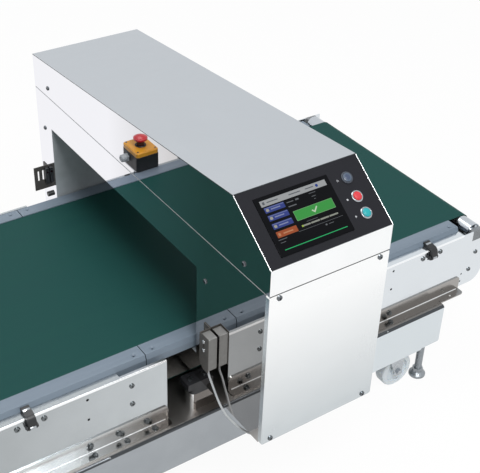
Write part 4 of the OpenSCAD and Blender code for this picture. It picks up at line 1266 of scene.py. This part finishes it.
    def _gland_grips(self) -> None:
        """Ribs round the caps of the two glands below the near leg."""
        grips = Form()
        foot, head = self.rib_z
        for x in (-self.gland_x, self.gland_x):
            for k in range(self.ribs):
                angle = math.tau * k / self.ribs
                out, along = x + self.rib_out * math.cos(angle), self.gland_y + self.rib_out * math.sin(angle)
                grips.rod((out, along, foot), (out, along, head), self.rib_radius, sides=8)
        grips.piece("gland_grips", FINISHES["gland_plastic"], STATIC_BODY, "gland_plastic")

    def _board_parts(self) -> None:
        """Chips, capacitors and a terminal strip on the control board."""
        low, high = Vector(self.board[0]), Vector(self.board[1])
        chips, cans, strip = Form(), Form(), Form()
        radius, rise, up = self.can
        for k in range(5):
            x = low.x + 12 + self.chip_pitch * k
            for width, tall, foot, head, edge in self.chip_rows:
                chips.block((x, low.y - tall, low.z + foot), (x + width, low.y, low.z + head), edge)
            cans.rod((x + 4, low.y, low.z + up), (x + 4, low.y - rise, low.z + up), radius, edge=0.8)
        deep, wide, pitch = self.terminal
        for k in range(10):
            z = low.z + 20 + pitch * k
            strip.block((high.x - deep, low.y - deep, z), (high.x - 1, low.y, z + wide), 0.6)
        chips.piece("board_chips", FINISHES["bearing_plastic"], STATIC_BODY, "circuit_board")
        cans.piece("board_capacitors", FINISHES["zinc_sheet"], STATIC_BODY, "circuit_board")
        strip.piece("board_terminals", FINISHES["button_cyan"], STATIC_BODY, "circuit_board")


def within(box: Box, left: float, right: float, low: float, high: float) -> Box:
    """A box inside another, by how far its edges lie from the other's left and lower edges."""
    return (box[0] + left, box[0] + right, box[2] + low, box[2] + high)


# How far a lit field goes into what it lies on, in millimetres, so that no gap shows
SUNK = 0.05


@dataclass(frozen=True)
class LitFields:
    """A group of lit fields on the display, which is one piece.

    A box is a field's left, right, lower and upper edge on the panel. The layer says how many fields
    lie below, and the corner is the radius of a field's corners.
    """

    piece: str
    finish: str
    colour: str
    glow: float
    boxes: Sequence[Box]
    layer: int = 0
    corner: float = 0.8

    def build(self, floor: float, height: float, place: Matrix) -> None:
        """Lays the fields on a panel.

        Args:
            floor: the height of the glass over the panel.
            height: the height of a field.
            place: the turn and shift from the panel's frame to the object's.
        """
        fields = Form()
        low = floor + self.layer * height
        for x0, x1, s0, s1 in self.boxes:
            radius = min(self.corner, (x1 - x0) / 2.5, (s1 - s0) / 2.5)
            fields.plate(rounded(x0, x1, s0, s1, radius, 3), low - SUNK, low + height, place)
        finish = LitDisplay(self.finish, self.colour, self.glow)
        fields.piece(self.piece, finish, STATIC_BODY, "display_glass")


@dataclass
class OperatorPanel:
    """The film-covered fascia in the hood's slope, with its display and three push buttons.

    Places on it are millimetres across the head and up the slope.
    """

    foot: Triple = (0.0, -515.0, 793.0)
    slope: float = 36.104
    glass_top: float = 1.5
    field_height: float = 0.12
    title: Box = (-106.5, 51.0, 121.5, 134.0)
    title_marks: Sequence[Box] = (
        (-102, -97, 125, 131), (-92, -66, 127, 129), (-40, -12, 127, 129), (0, 20, 127, 129),
    )
    spot: tuple[float, ...] = (28.0, 127.6, 3.2)
    keys: Sequence[Box] = ((-104, -57.5, 107.5, 119), (-104, -57.5, 90.3, 102), (-104, -57.5, 72.5, 84.5))
    stop_key: Box = (-104.0, -56.0, 54.5, 67.0)
    status: Box = (-48.5, 45.5, 73.0, 94.0)
    status_rim: float = 0.9
    bar: Box = (-45.0, 45.0, 59.0, 62.2)
    bar_parts: int = 4
    bar_gap: float = 1.6
    level: Box = (-102.5, 48.5, 28.0, 29.6)
    rules: Sequence[Box] = (
        (-57, 51, 52.4, 53), (-52, -36, 113.6, 115.2), (-31, -23, 113.2, 116.4), (-52, -33, 104.4, 106.4),
        (3, 19, 116.4, 117.4), (6, 16, 109, 110.2), (9, 13, 103.4, 104.4), (-106, -86, 49.6, 50.8),
        (-104, -92, 43.6, 44.6), (-30, -4, 66, 66.8), (5, 9, 45.4, 48.6), (13, 25, 46.4, 47.4),
    )
    tick: Sequence[tuple[float, float]] = (
        (-7.5, -0.4), (-5.4, 1.6), (-1.6, -2.2), (6.6, 6.0), (8.6, 4.0), (-1.6, -6.2),
    )
    buttons: tuple[tuple[float, float], ...] = ((102, 122), (103, 79), (104, 41))
    collar_reach: float = 22.0
    lens: Sequence[tuple[float, float]] = (
        (0, 0.7), (3.2, 0.6), (5.6, 0.3), (6.6, -0.2), (6.6, -0.6), (0, -0.6),
    )
    sign_x: float = 79.0
    ring: tuple[float, float] = (1.7, 2.4)
    print_height: tuple[float, float] = (-0.02, 0.06)

    def place(self) -> Matrix:
        """The turn and shift from the panel's own frame to the object's."""
        return Matrix.Translation(Vector(self.foot)) @ Matrix.Rotation(math.radians(self.slope), 4, "X")

    def build(self) -> None:
        """Dresses the panel and lays out its display, its signs and its buttons."""
        soften_all((("panel_fascia", 0.6), ("display_glass", 0.5), ("display_module", 0.6)))
        for fields in self._keys():
            fields.build(self.glass_top, self.field_height, self.place())
        self._tick()
        for fields in self._bars():
            fields.build(self.glass_top, self.field_height, self.place())
        self._spot()
        self._signs()
        self._collars()
        self._lenses()

    def _keys(self) -> list[LitFields]:
        """Lays out the upper part of a start page: a title bar, four keys and a status field.

        Returns:
            The groups of fields, the undermost first.
        """
        keys, stop, rim = self.keys, self.stop_key, self.status_rim
        left, right, low, high = self.status
        glints = [(k[0] + 0.8, k[1] - 0.8, k[3] - 2.6, k[3] - 0.9) for k in keys]
        marks = [within(k, 14, 36, 4.4, 6.6) for k in keys]
        signs = [within(k, 3, 9.5, 2.6, 8.2) for k in keys]
        stop_marks = [within(stop, 3.5, 8.5, 3, 9), within(stop, 15, 38, 4.6, 7.2)]
        inner = (left + rim, right - rim, low + rim, high - rim)
        return [
            LitFields("display_title_bar", "lit_title_bar", "#c4c7c9", 0.62, [self.title], corner=0.4),
            LitFields("display_keys", "lit_key_blue", "#4656a6", 0.6, keys),
            LitFields("display_key_glints", "lit_key_light", "#8e9bd8", 0.5, glints, 1),
            LitFields("display_key_marks", "lit_key_mark", "#aab4de", 0.55, marks, 1, 0.3),
            LitFields("display_key_signs", "lit_key_sign", "#d8d6c8", 0.5, signs, 1, 1.2),
            LitFields("display_stop_key", "lit_key_orange", "#c2643a", 0.62, [stop]),
            LitFields("display_stop_mark", "lit_orange_light", "#e8a277", 0.6, stop_marks, 1, 0.3),
            LitFields("display_status_rim", "lit_status_rim", "#8fd08f", 0.6, [self.status]),
            LitFields("display_status", "lit_status_green", "#49b052", 0.7, [inner], 1),
        ]

    def _bars(self) -> list[LitFields]:
        """Lays out the level bar, the rules and the marks on the title bar.

        Returns:
            The groups of fields, the undermost first.
        """
        left, right, low, high = self.bar
        step = (right - left) / self.bar_parts
        edges = [left + step * n for n in range(self.bar_parts + 1)]
        parts = [(first, last - self.bar_gap, low, high) for first, last in zip(edges, edges[1:])]
        now = (left, left + 4, low - 0.3, high + 0.3)
        return [
            LitFields("display_level_segments", "lit_segment_pale", "#b4b8ac", 0.6, parts, corner=0.3),
            LitFields("display_level_now", "lit_segment_lime", "#b6d35a", 0.7, [now], 1, 0.3),
            LitFields("display_rules", "lit_rule_grey", "#8d9196", 0.5, self.rules, corner=0.2),
            LitFields("display_level_line", "lit_line_green", "#35c778", 0.75, [self.level], corner=0.3),
            LitFields("display_title_marks", "lit_title_mark", "#80848c", 0.5, self.title_marks, 1, 0.2),
        ]

    def _tick(self) -> None:
        """Draws the tick in the middle of the status field."""
        left, right, foot, head = self.status
        outline = [((left + right) / 2 + x, (foot + head) / 2 + s) for x, s in self.tick]
        low = self.glass_top + 2 * self.field_height - SUNK
        tick = Form().plate(outline, low, low + self.field_height, self.place())
        tick.piece("display_tick", LitDisplay("lit_tick_pale", "#d9ecd0", 0.75), STATIC_BODY, "display_glass")

    def _spot(self) -> None:
        """A round blue spot at the right of the title bar."""
        x, s, radius = self.spot
        low = self.glass_top + self.field_height - SUNK
        spot = Form().rod((x, s, low), (x, s, low + self.field_height), radius, sides=24, turn=self.place())
        finish = LitDisplay("lit_spot_blue", "#3350a8", 0.6)
        spot.piece("display_title_spot", finish, STATIC_BODY, "display_glass")

    def _signs(self) -> None:
        """Prints a small sign beside each button: a broken ring, a square and a triangle."""
        signs = Form()
        turn, x = self.place(), self.sign_x
        ring_s, square_s, triangle_s = (s for _, s in self.buttons)
        turns = [math.radians(40 + 10 * k) for k in range(29)]
        inner, outer = ([(x + r * math.sin(a), ring_s + r * math.cos(a)) for a in turns] for r in self.ring)
        for outline in (
            outer + inner[::-1],
            rounded(x - 0.35, x + 0.35, ring_s + 0.3, ring_s + 3.2, 0.2, 2),
            rounded(x - 2, x + 2, square_s - 2, square_s + 2, 0.2, 2),
            [(x - 2, triangle_s - 2.4), (x + 2.6, triangle_s), (x - 2, triangle_s + 2.4)],
        ):
            signs.plate(outline, *self.print_height, turn)
        signs.piece("panel_signs", SCREEN_PRINT, STATIC_BODY, "panel_film")

    def _collars(self) -> None:
        """Bright collars round the lower two buttons and a dark one round the first."""
        collars = soften("button_collars", 0.3, 2, [FINISHES["plated_collar"], COLLAR_BLACK])
        first = self.place() @ Vector((*self.buttons[0], 0))
        paint(collars, lambda face: int(near(face, first, self.collar_reach)))

    def _lenses(self) -> None:
        """The buttons, each with the domed lens on its cap."""
        caps = (
            ("power_button", MouldedPlastic(
                "lens_blue", "#3a4862", "#334058", coat=0.1,
            ), 4.3, "button_blue_grey"),
            ("stop_button", MouldedPlastic("lens_red", "#cb3540", "#c02e39", coat=0.1), 5.0, "button_red"),
            ("start_button", MouldedPlastic("lens_cyan", "#189fa3", "#149498", coat=0.1), 5.0, "button_cyan"),
        )
        for (node, finish, top, slot), (x, s) in zip(caps, self.buttons):
            soften(node, 0.4)
            profile = [(r, top + h) for r, h in self.lens]
            cap = Form().turned(profile, (x, s, 0), Axis.Z, 40, self.place())
            cap.piece(f"{node}_lens", finish, f"{node}_body", slot)


@dataclass
class ProductSensor:
    """The sensor bar beside the near end of the passage and its receiver at the far end."""

    left: float = -175.0
    width: float = 22.0
    back: float = -316.0
    foot: float = 425.0
    receiver: Triple = (-156.0, 471.0, 496.0)
    # The bar's lenses: how many, the lowest one's height over the foot, their pitch and radius
    lenses: int = 6
    lens_foot: float = 18.0
    lens_pitch: float = 11.0
    lens_radius: float = 2.6

    def build(self) -> None:
        """Dresses the sensor's solids and adds its lenses."""
        soften("sensor_brackets", 0.4)
        # Sensor bar: rounded edges in painted highlight
        bar = soften("sensor_bar", 0.7, 2, [FINISHES["sensor_housing"], FINISHES["plated_collar"]], PAINTED_HIGHLIGHT)
        paint(bar, lambda face: int(face.center.x / MM < self.left - 0.3))
        soften("reflector", 0.5)
        glass = Form()
        x = self.left + self.width / 2
        for k in range(self.lenses):
            z = self.foot + self.lens_foot + self.lens_pitch * k
            glass.rod((x, self.back - 0.2, z), (x, self.back + 0.5, z), self.lens_radius, sides=28)
        x, y, z = self.receiver
        glass.rod((x, y + 1.0, z), (x, y - 0.4, z), 2.4, sides=28)
        glass.piece("sensor_lenses", SENSOR_GLASS, STATIC_BODY, "sensor_housing")


@dataclass
class ConveyorPlaces:
    """What the conveyor and its base share: the middle of the belt, the side plates and the corners."""

    middle: float = 94.5
    plate_out: float = 363.5
    corners: tuple[tuple[int, int], ...] = ((-1, -1), (1, -1), (-1, 1), (1, 1))


@dataclass
class BeltConveyor(ConveyorPlaces):
    """The belt with its plates, rails, beds, rollers, bearings and the latches of its guards."""

    belt_centre_z: float = 370.0
    rail_out: float = 339.0
    plate_top: float = 427.0
    latch_x: float = 555.0
    # Bearing blocks past this distance from the middle are the grey end blocks
    end_block_x: float = 650.0
    # A latch's two round bars: how far out of the rail and of the plate, how far over the plate's top,
    # half their length, their radius and how many faces go round
    barrel: Sequence[float] = (6.5, 4.4, 8.2, 5.2, 40)
    pin: Sequence[float] = (9.6, -19.2, 6.5, 4.2, 36)

    def build(self) -> None:
        """Dresses the conveyor's solids and adds the latches' metal parts."""
        # Side plates: rounded edges and top bends in painted highlight
        paint(soften("side_plates", 0.7, 3, [PLATE, PAINTED_HIGHLIGHT], PAINTED_HIGHLIGHT), bent_edge)
        soften_all((("cross_ties", 0.4), ("side_rails", 0.7, 3), ("end_beds", 0.5), ("tunnel_bed", 0.5)))
        blocks = soften("bearing_blocks", 0.5, 2, [FINISHES["bearing_plastic"], END_BLOCK])
        paint(blocks, lambda face: int(abs(face.center.x) / MM > self.end_block_x))
        soften_all([(f"{name}_roller", 0.5) for name in ("drive", "tail", "infeed_snub", "outfeed_snub")])
        paint(soften("belt", 0.4, 2, [FINISHES["belt_green"], BARE_FABRIC]), self._belt_side)
        soften("latch_bases", 0.4)
        for k, (end, side) in enumerate(self.corners, 1):
            self._latch(k, end, side)

    def _belt_side(self, face: bpy.types.MeshPolygon) -> int:
        """Cover on the outside and the edges, bare fabric on the running side."""
        outwards = Vector((face.center.x * 0.1, 0, face.center.z - self.belt_centre_z * MM))
        return int(abs(face.normal.y) < 0.7 and face.normal.dot(outwards) < 0)

    def _latch(self, k: int, end: int, side: int) -> None:
        """Makes a latch lever, with the bright barrel that it turns on and the round pin at its handle.

        Args:
            k: its number.
            end: which end of the base it is at, -1 or 1 along X.
            side: which side of the belt it is on, -1 or 1 along Y.
        """
        soften(f"latch_lever_{k}", 0.8, 3)
        parts = Form()
        x = end * self.latch_x
        for start, bar in ((self.rail_out, self.barrel), (self.plate_out, self.pin)):
            out, up, half, radius, sides = bar
            y, z = self.middle + side * (start + out), self.plate_top + up
            parts.rod((x - half, y, z), (x + half, y, z), radius, sides=sides, edge=0.6)
        parts.piece(f"latch_metal_{k}", FINISHES["plated_collar"], f"latch_lever_{k}_body", "latch_black")


@dataclass
class WheeledBase(ConveyorPlaces):
    """The open base with its angles, the insulated pedestals, the casters and the levelling feet."""

    caster_x: float = 454.0
    caster_y: float = 351.5
    trail: float = 35.0
    axle_z: float = 50.0
    # A cap ring on a wheel, as radius and distance from the wheel's middle
    cap: Sequence[tuple[float, float]] = (
        (7.5, 16.2), (7.5, 17.0), (13.6, 17.0), (14.4, 16.2), (14.4, 15.0), (7.5, 15.0), (7.5, 16.2),
    )
    foot_x: float = 568.0
    foot_y: float = 369.5
    screw_radius: float = 10.0
    top: float = 253.0
    angle: tuple[float, float] = (240.0, 667.0)
    fold_radius: float = 1.3
    fold_offset: float = 3.3

    def build(self) -> None:
        """Dresses the base's solids and adds painted-highlight rods along the folds of its angles, and the
        casters' caps.
        """
        # Base: bent edges in painted dark reflection, top faces in the darkened top steel
        base = soften("base_frame", 0.6, 3, [BASE, PAINTED_DARK_REFLECTION, TOP_PAINTED_DARK])
        paint(base, lambda face: 2 if face.normal.z > 0.95 else bent_edge(face))
        # Angles: rounded edges in painted highlight
        soften("base_angles", 0.6, 3, edge=PAINTED_HIGHLIGHT)
        folds = Form()
        for end, side in self.corners:
            y, z = self.middle + side * (self.plate_out + self.fold_offset), self.top + self.fold_offset
            folds.rod((end * self.angle[0], y, z), (end * self.angle[1], y, z), self.fold_radius, sides=16)
        folds.piece("angle_folds_painted_highlight", PAINTED_HIGHLIGHT, STATIC_BODY, "angle_steel")
        soften_all((("frame_bolts", 0.4), ("insulating_bars", 0.7)))
        # Pedestals: long sides in the darkened post steel, ends in painted highlight
        paint(soften("pedestals", 0.8, 3, [POST_PAINTED_DARK, PAINTED_HIGHLIGHT]), lambda face: int(abs(face.normal.x) > 0.5))
        soften("caster_plates", 0.5)
        for k, (end, side) in enumerate(self.corners, 1):
            soften(f"caster_fork_{k}", 0.5)
            self._wheel(k, end, side)
            self._foot(k, end, side)

    def _wheel(self, k: int, end: int, side: int) -> None:
        """Makes a wheel with a dark cap ring on either side of its hub.

        Args:
            k: its number.
            end: which end of the base it is at, -1 or 1 along X.
            side: which side of the belt it is on, -1 or 1 along Y.
        """
        soften(f"caster_wheel_{k}", 0.4)
        centre = (end * (self.caster_x + self.trail), self.middle + side * self.caster_y, self.axle_z)
        rings = Form()
        for face in (-1, 1):
            rings.turned([(radius, face * out) for radius, out in self.cap], centre, Axis.Y)
        rings.piece(f"caster_caps_{k}", FINISHES["gland_plastic"], f"caster_wheel_{k}_body", "wheel_nylon")

    def _foot(self, k: int, end: int, side: int) -> None:
        """Makes a foot whose screw shows its thread.

        Args:
            k: its number.
            end: which end of the base it is at, -1 or 1 along X.
            side: which side of the belt it is on, -1 or 1 along Y.
        """
        piece = soften(f"leveling_foot_{k}", 0.5, 2, [FINISHES["foot_steel"], THREAD])
        x, y = end * self.foot_x, self.middle + side * self.foot_y

        def finish(face: bpy.types.MeshPolygon) -> int:
            """One, the thread, on the screw's own round side, and nought elsewhere."""
            off = math.hypot(face.center.x / MM - x, face.center.y / MM - y)
            return int(abs(face.normal.z) < 0.3 and off < self.screw_radius + 0.1)

        paint(piece, finish)


@dataclass
class EmergencyStop:
    """The stop box on its bracket, with the mushroom on its lid."""

    place: Triple = (-424.0, 465.5, 500.0)
    half: tuple[float, float] = (35.0, 41.0)
    screw_inset: float = 8.0
    # A lid screw's radius below and on top, and its ends from the lid's face
    screw: Sequence[float] = (3.0, 2.4, -0.5, 1.2)
    collar: Sequence[tuple[float, float]] = (
        (11.6, 0), (11.6, 2.4), (14.5, 2.4), (16, 1.0), (16, 0), (11.6, 0),
    )
    neck_radius: float = 12.0

    def build(self) -> None:
        """Dresses the box and adds the lid's screws and the collar round the mushroom's neck."""
        soften_all((("stop_box", 1.2, 3), ("stop_lid", 1.0, 3)))
        paint(soften("stop_mushroom", 0.8, 3, [FINISHES["stop_red"], STOP_NECK]), self._neck)
        soften("stop_bracket", 0.5)
        x, y, z = self.place
        screws = Form()
        radius, top_radius, foot, head = self.screw
        out_x, out_y = (half - self.screw_inset for half in self.half)
        for dx, dy in ((-1, -1), (-1, 1), (1, -1), (1, 1)):
            at_x, at_y = x + dx * out_x, y + dy * out_y
            screws.rod((at_x, at_y, z + foot), (at_x, at_y, z + head), radius, top_radius, sides=28)
        screws.piece("stop_lid_screws", FINISHES["bolt_steel"], STATIC_BODY, "stop_lid_amber")
        collar = Form().turned(self.collar, (x, y, z), Axis.Z, 56)
        collar.piece("stop_collar", FINISHES["stop_box_black"], STATIC_BODY, "stop_box_black")

    def _neck(self, face: bpy.types.MeshPolygon) -> int:
        """One for the upright faces round the mushroom's neck, nought elsewhere."""
        middle = (*self.place[:2], face.center.z / MM)
        return int(abs(face.normal.z) < 0.5 and near(face, middle, self.neck_radius))


def dress_frame() -> None:
    """Gives every CAD node that is still shown the finish of its slot."""
    for node in frame["nodes"].values():
        slot = node.data.materials[0].name.split(".")[0]
        if slot in FINISHES:
            node.data.materials[0] = FINISHES[slot].material()


def main() -> None:
    """Builds the camera, the cable, the studio and each sub-assembly in turn."""
    logging.basicConfig(level=logging.INFO, format="%(message)s")
    studio = Studio()
    studio.camera()
    SensorCable().build()
    studio.build()
    for part in (DetectorHead, OperatorPanel, ProductSensor, BeltConveyor, WheeledBase, EmergencyStop):
        part().build()
        log.info("%s done", part.__name__)
    dress_frame()


if __name__ == "__main__":
    main()
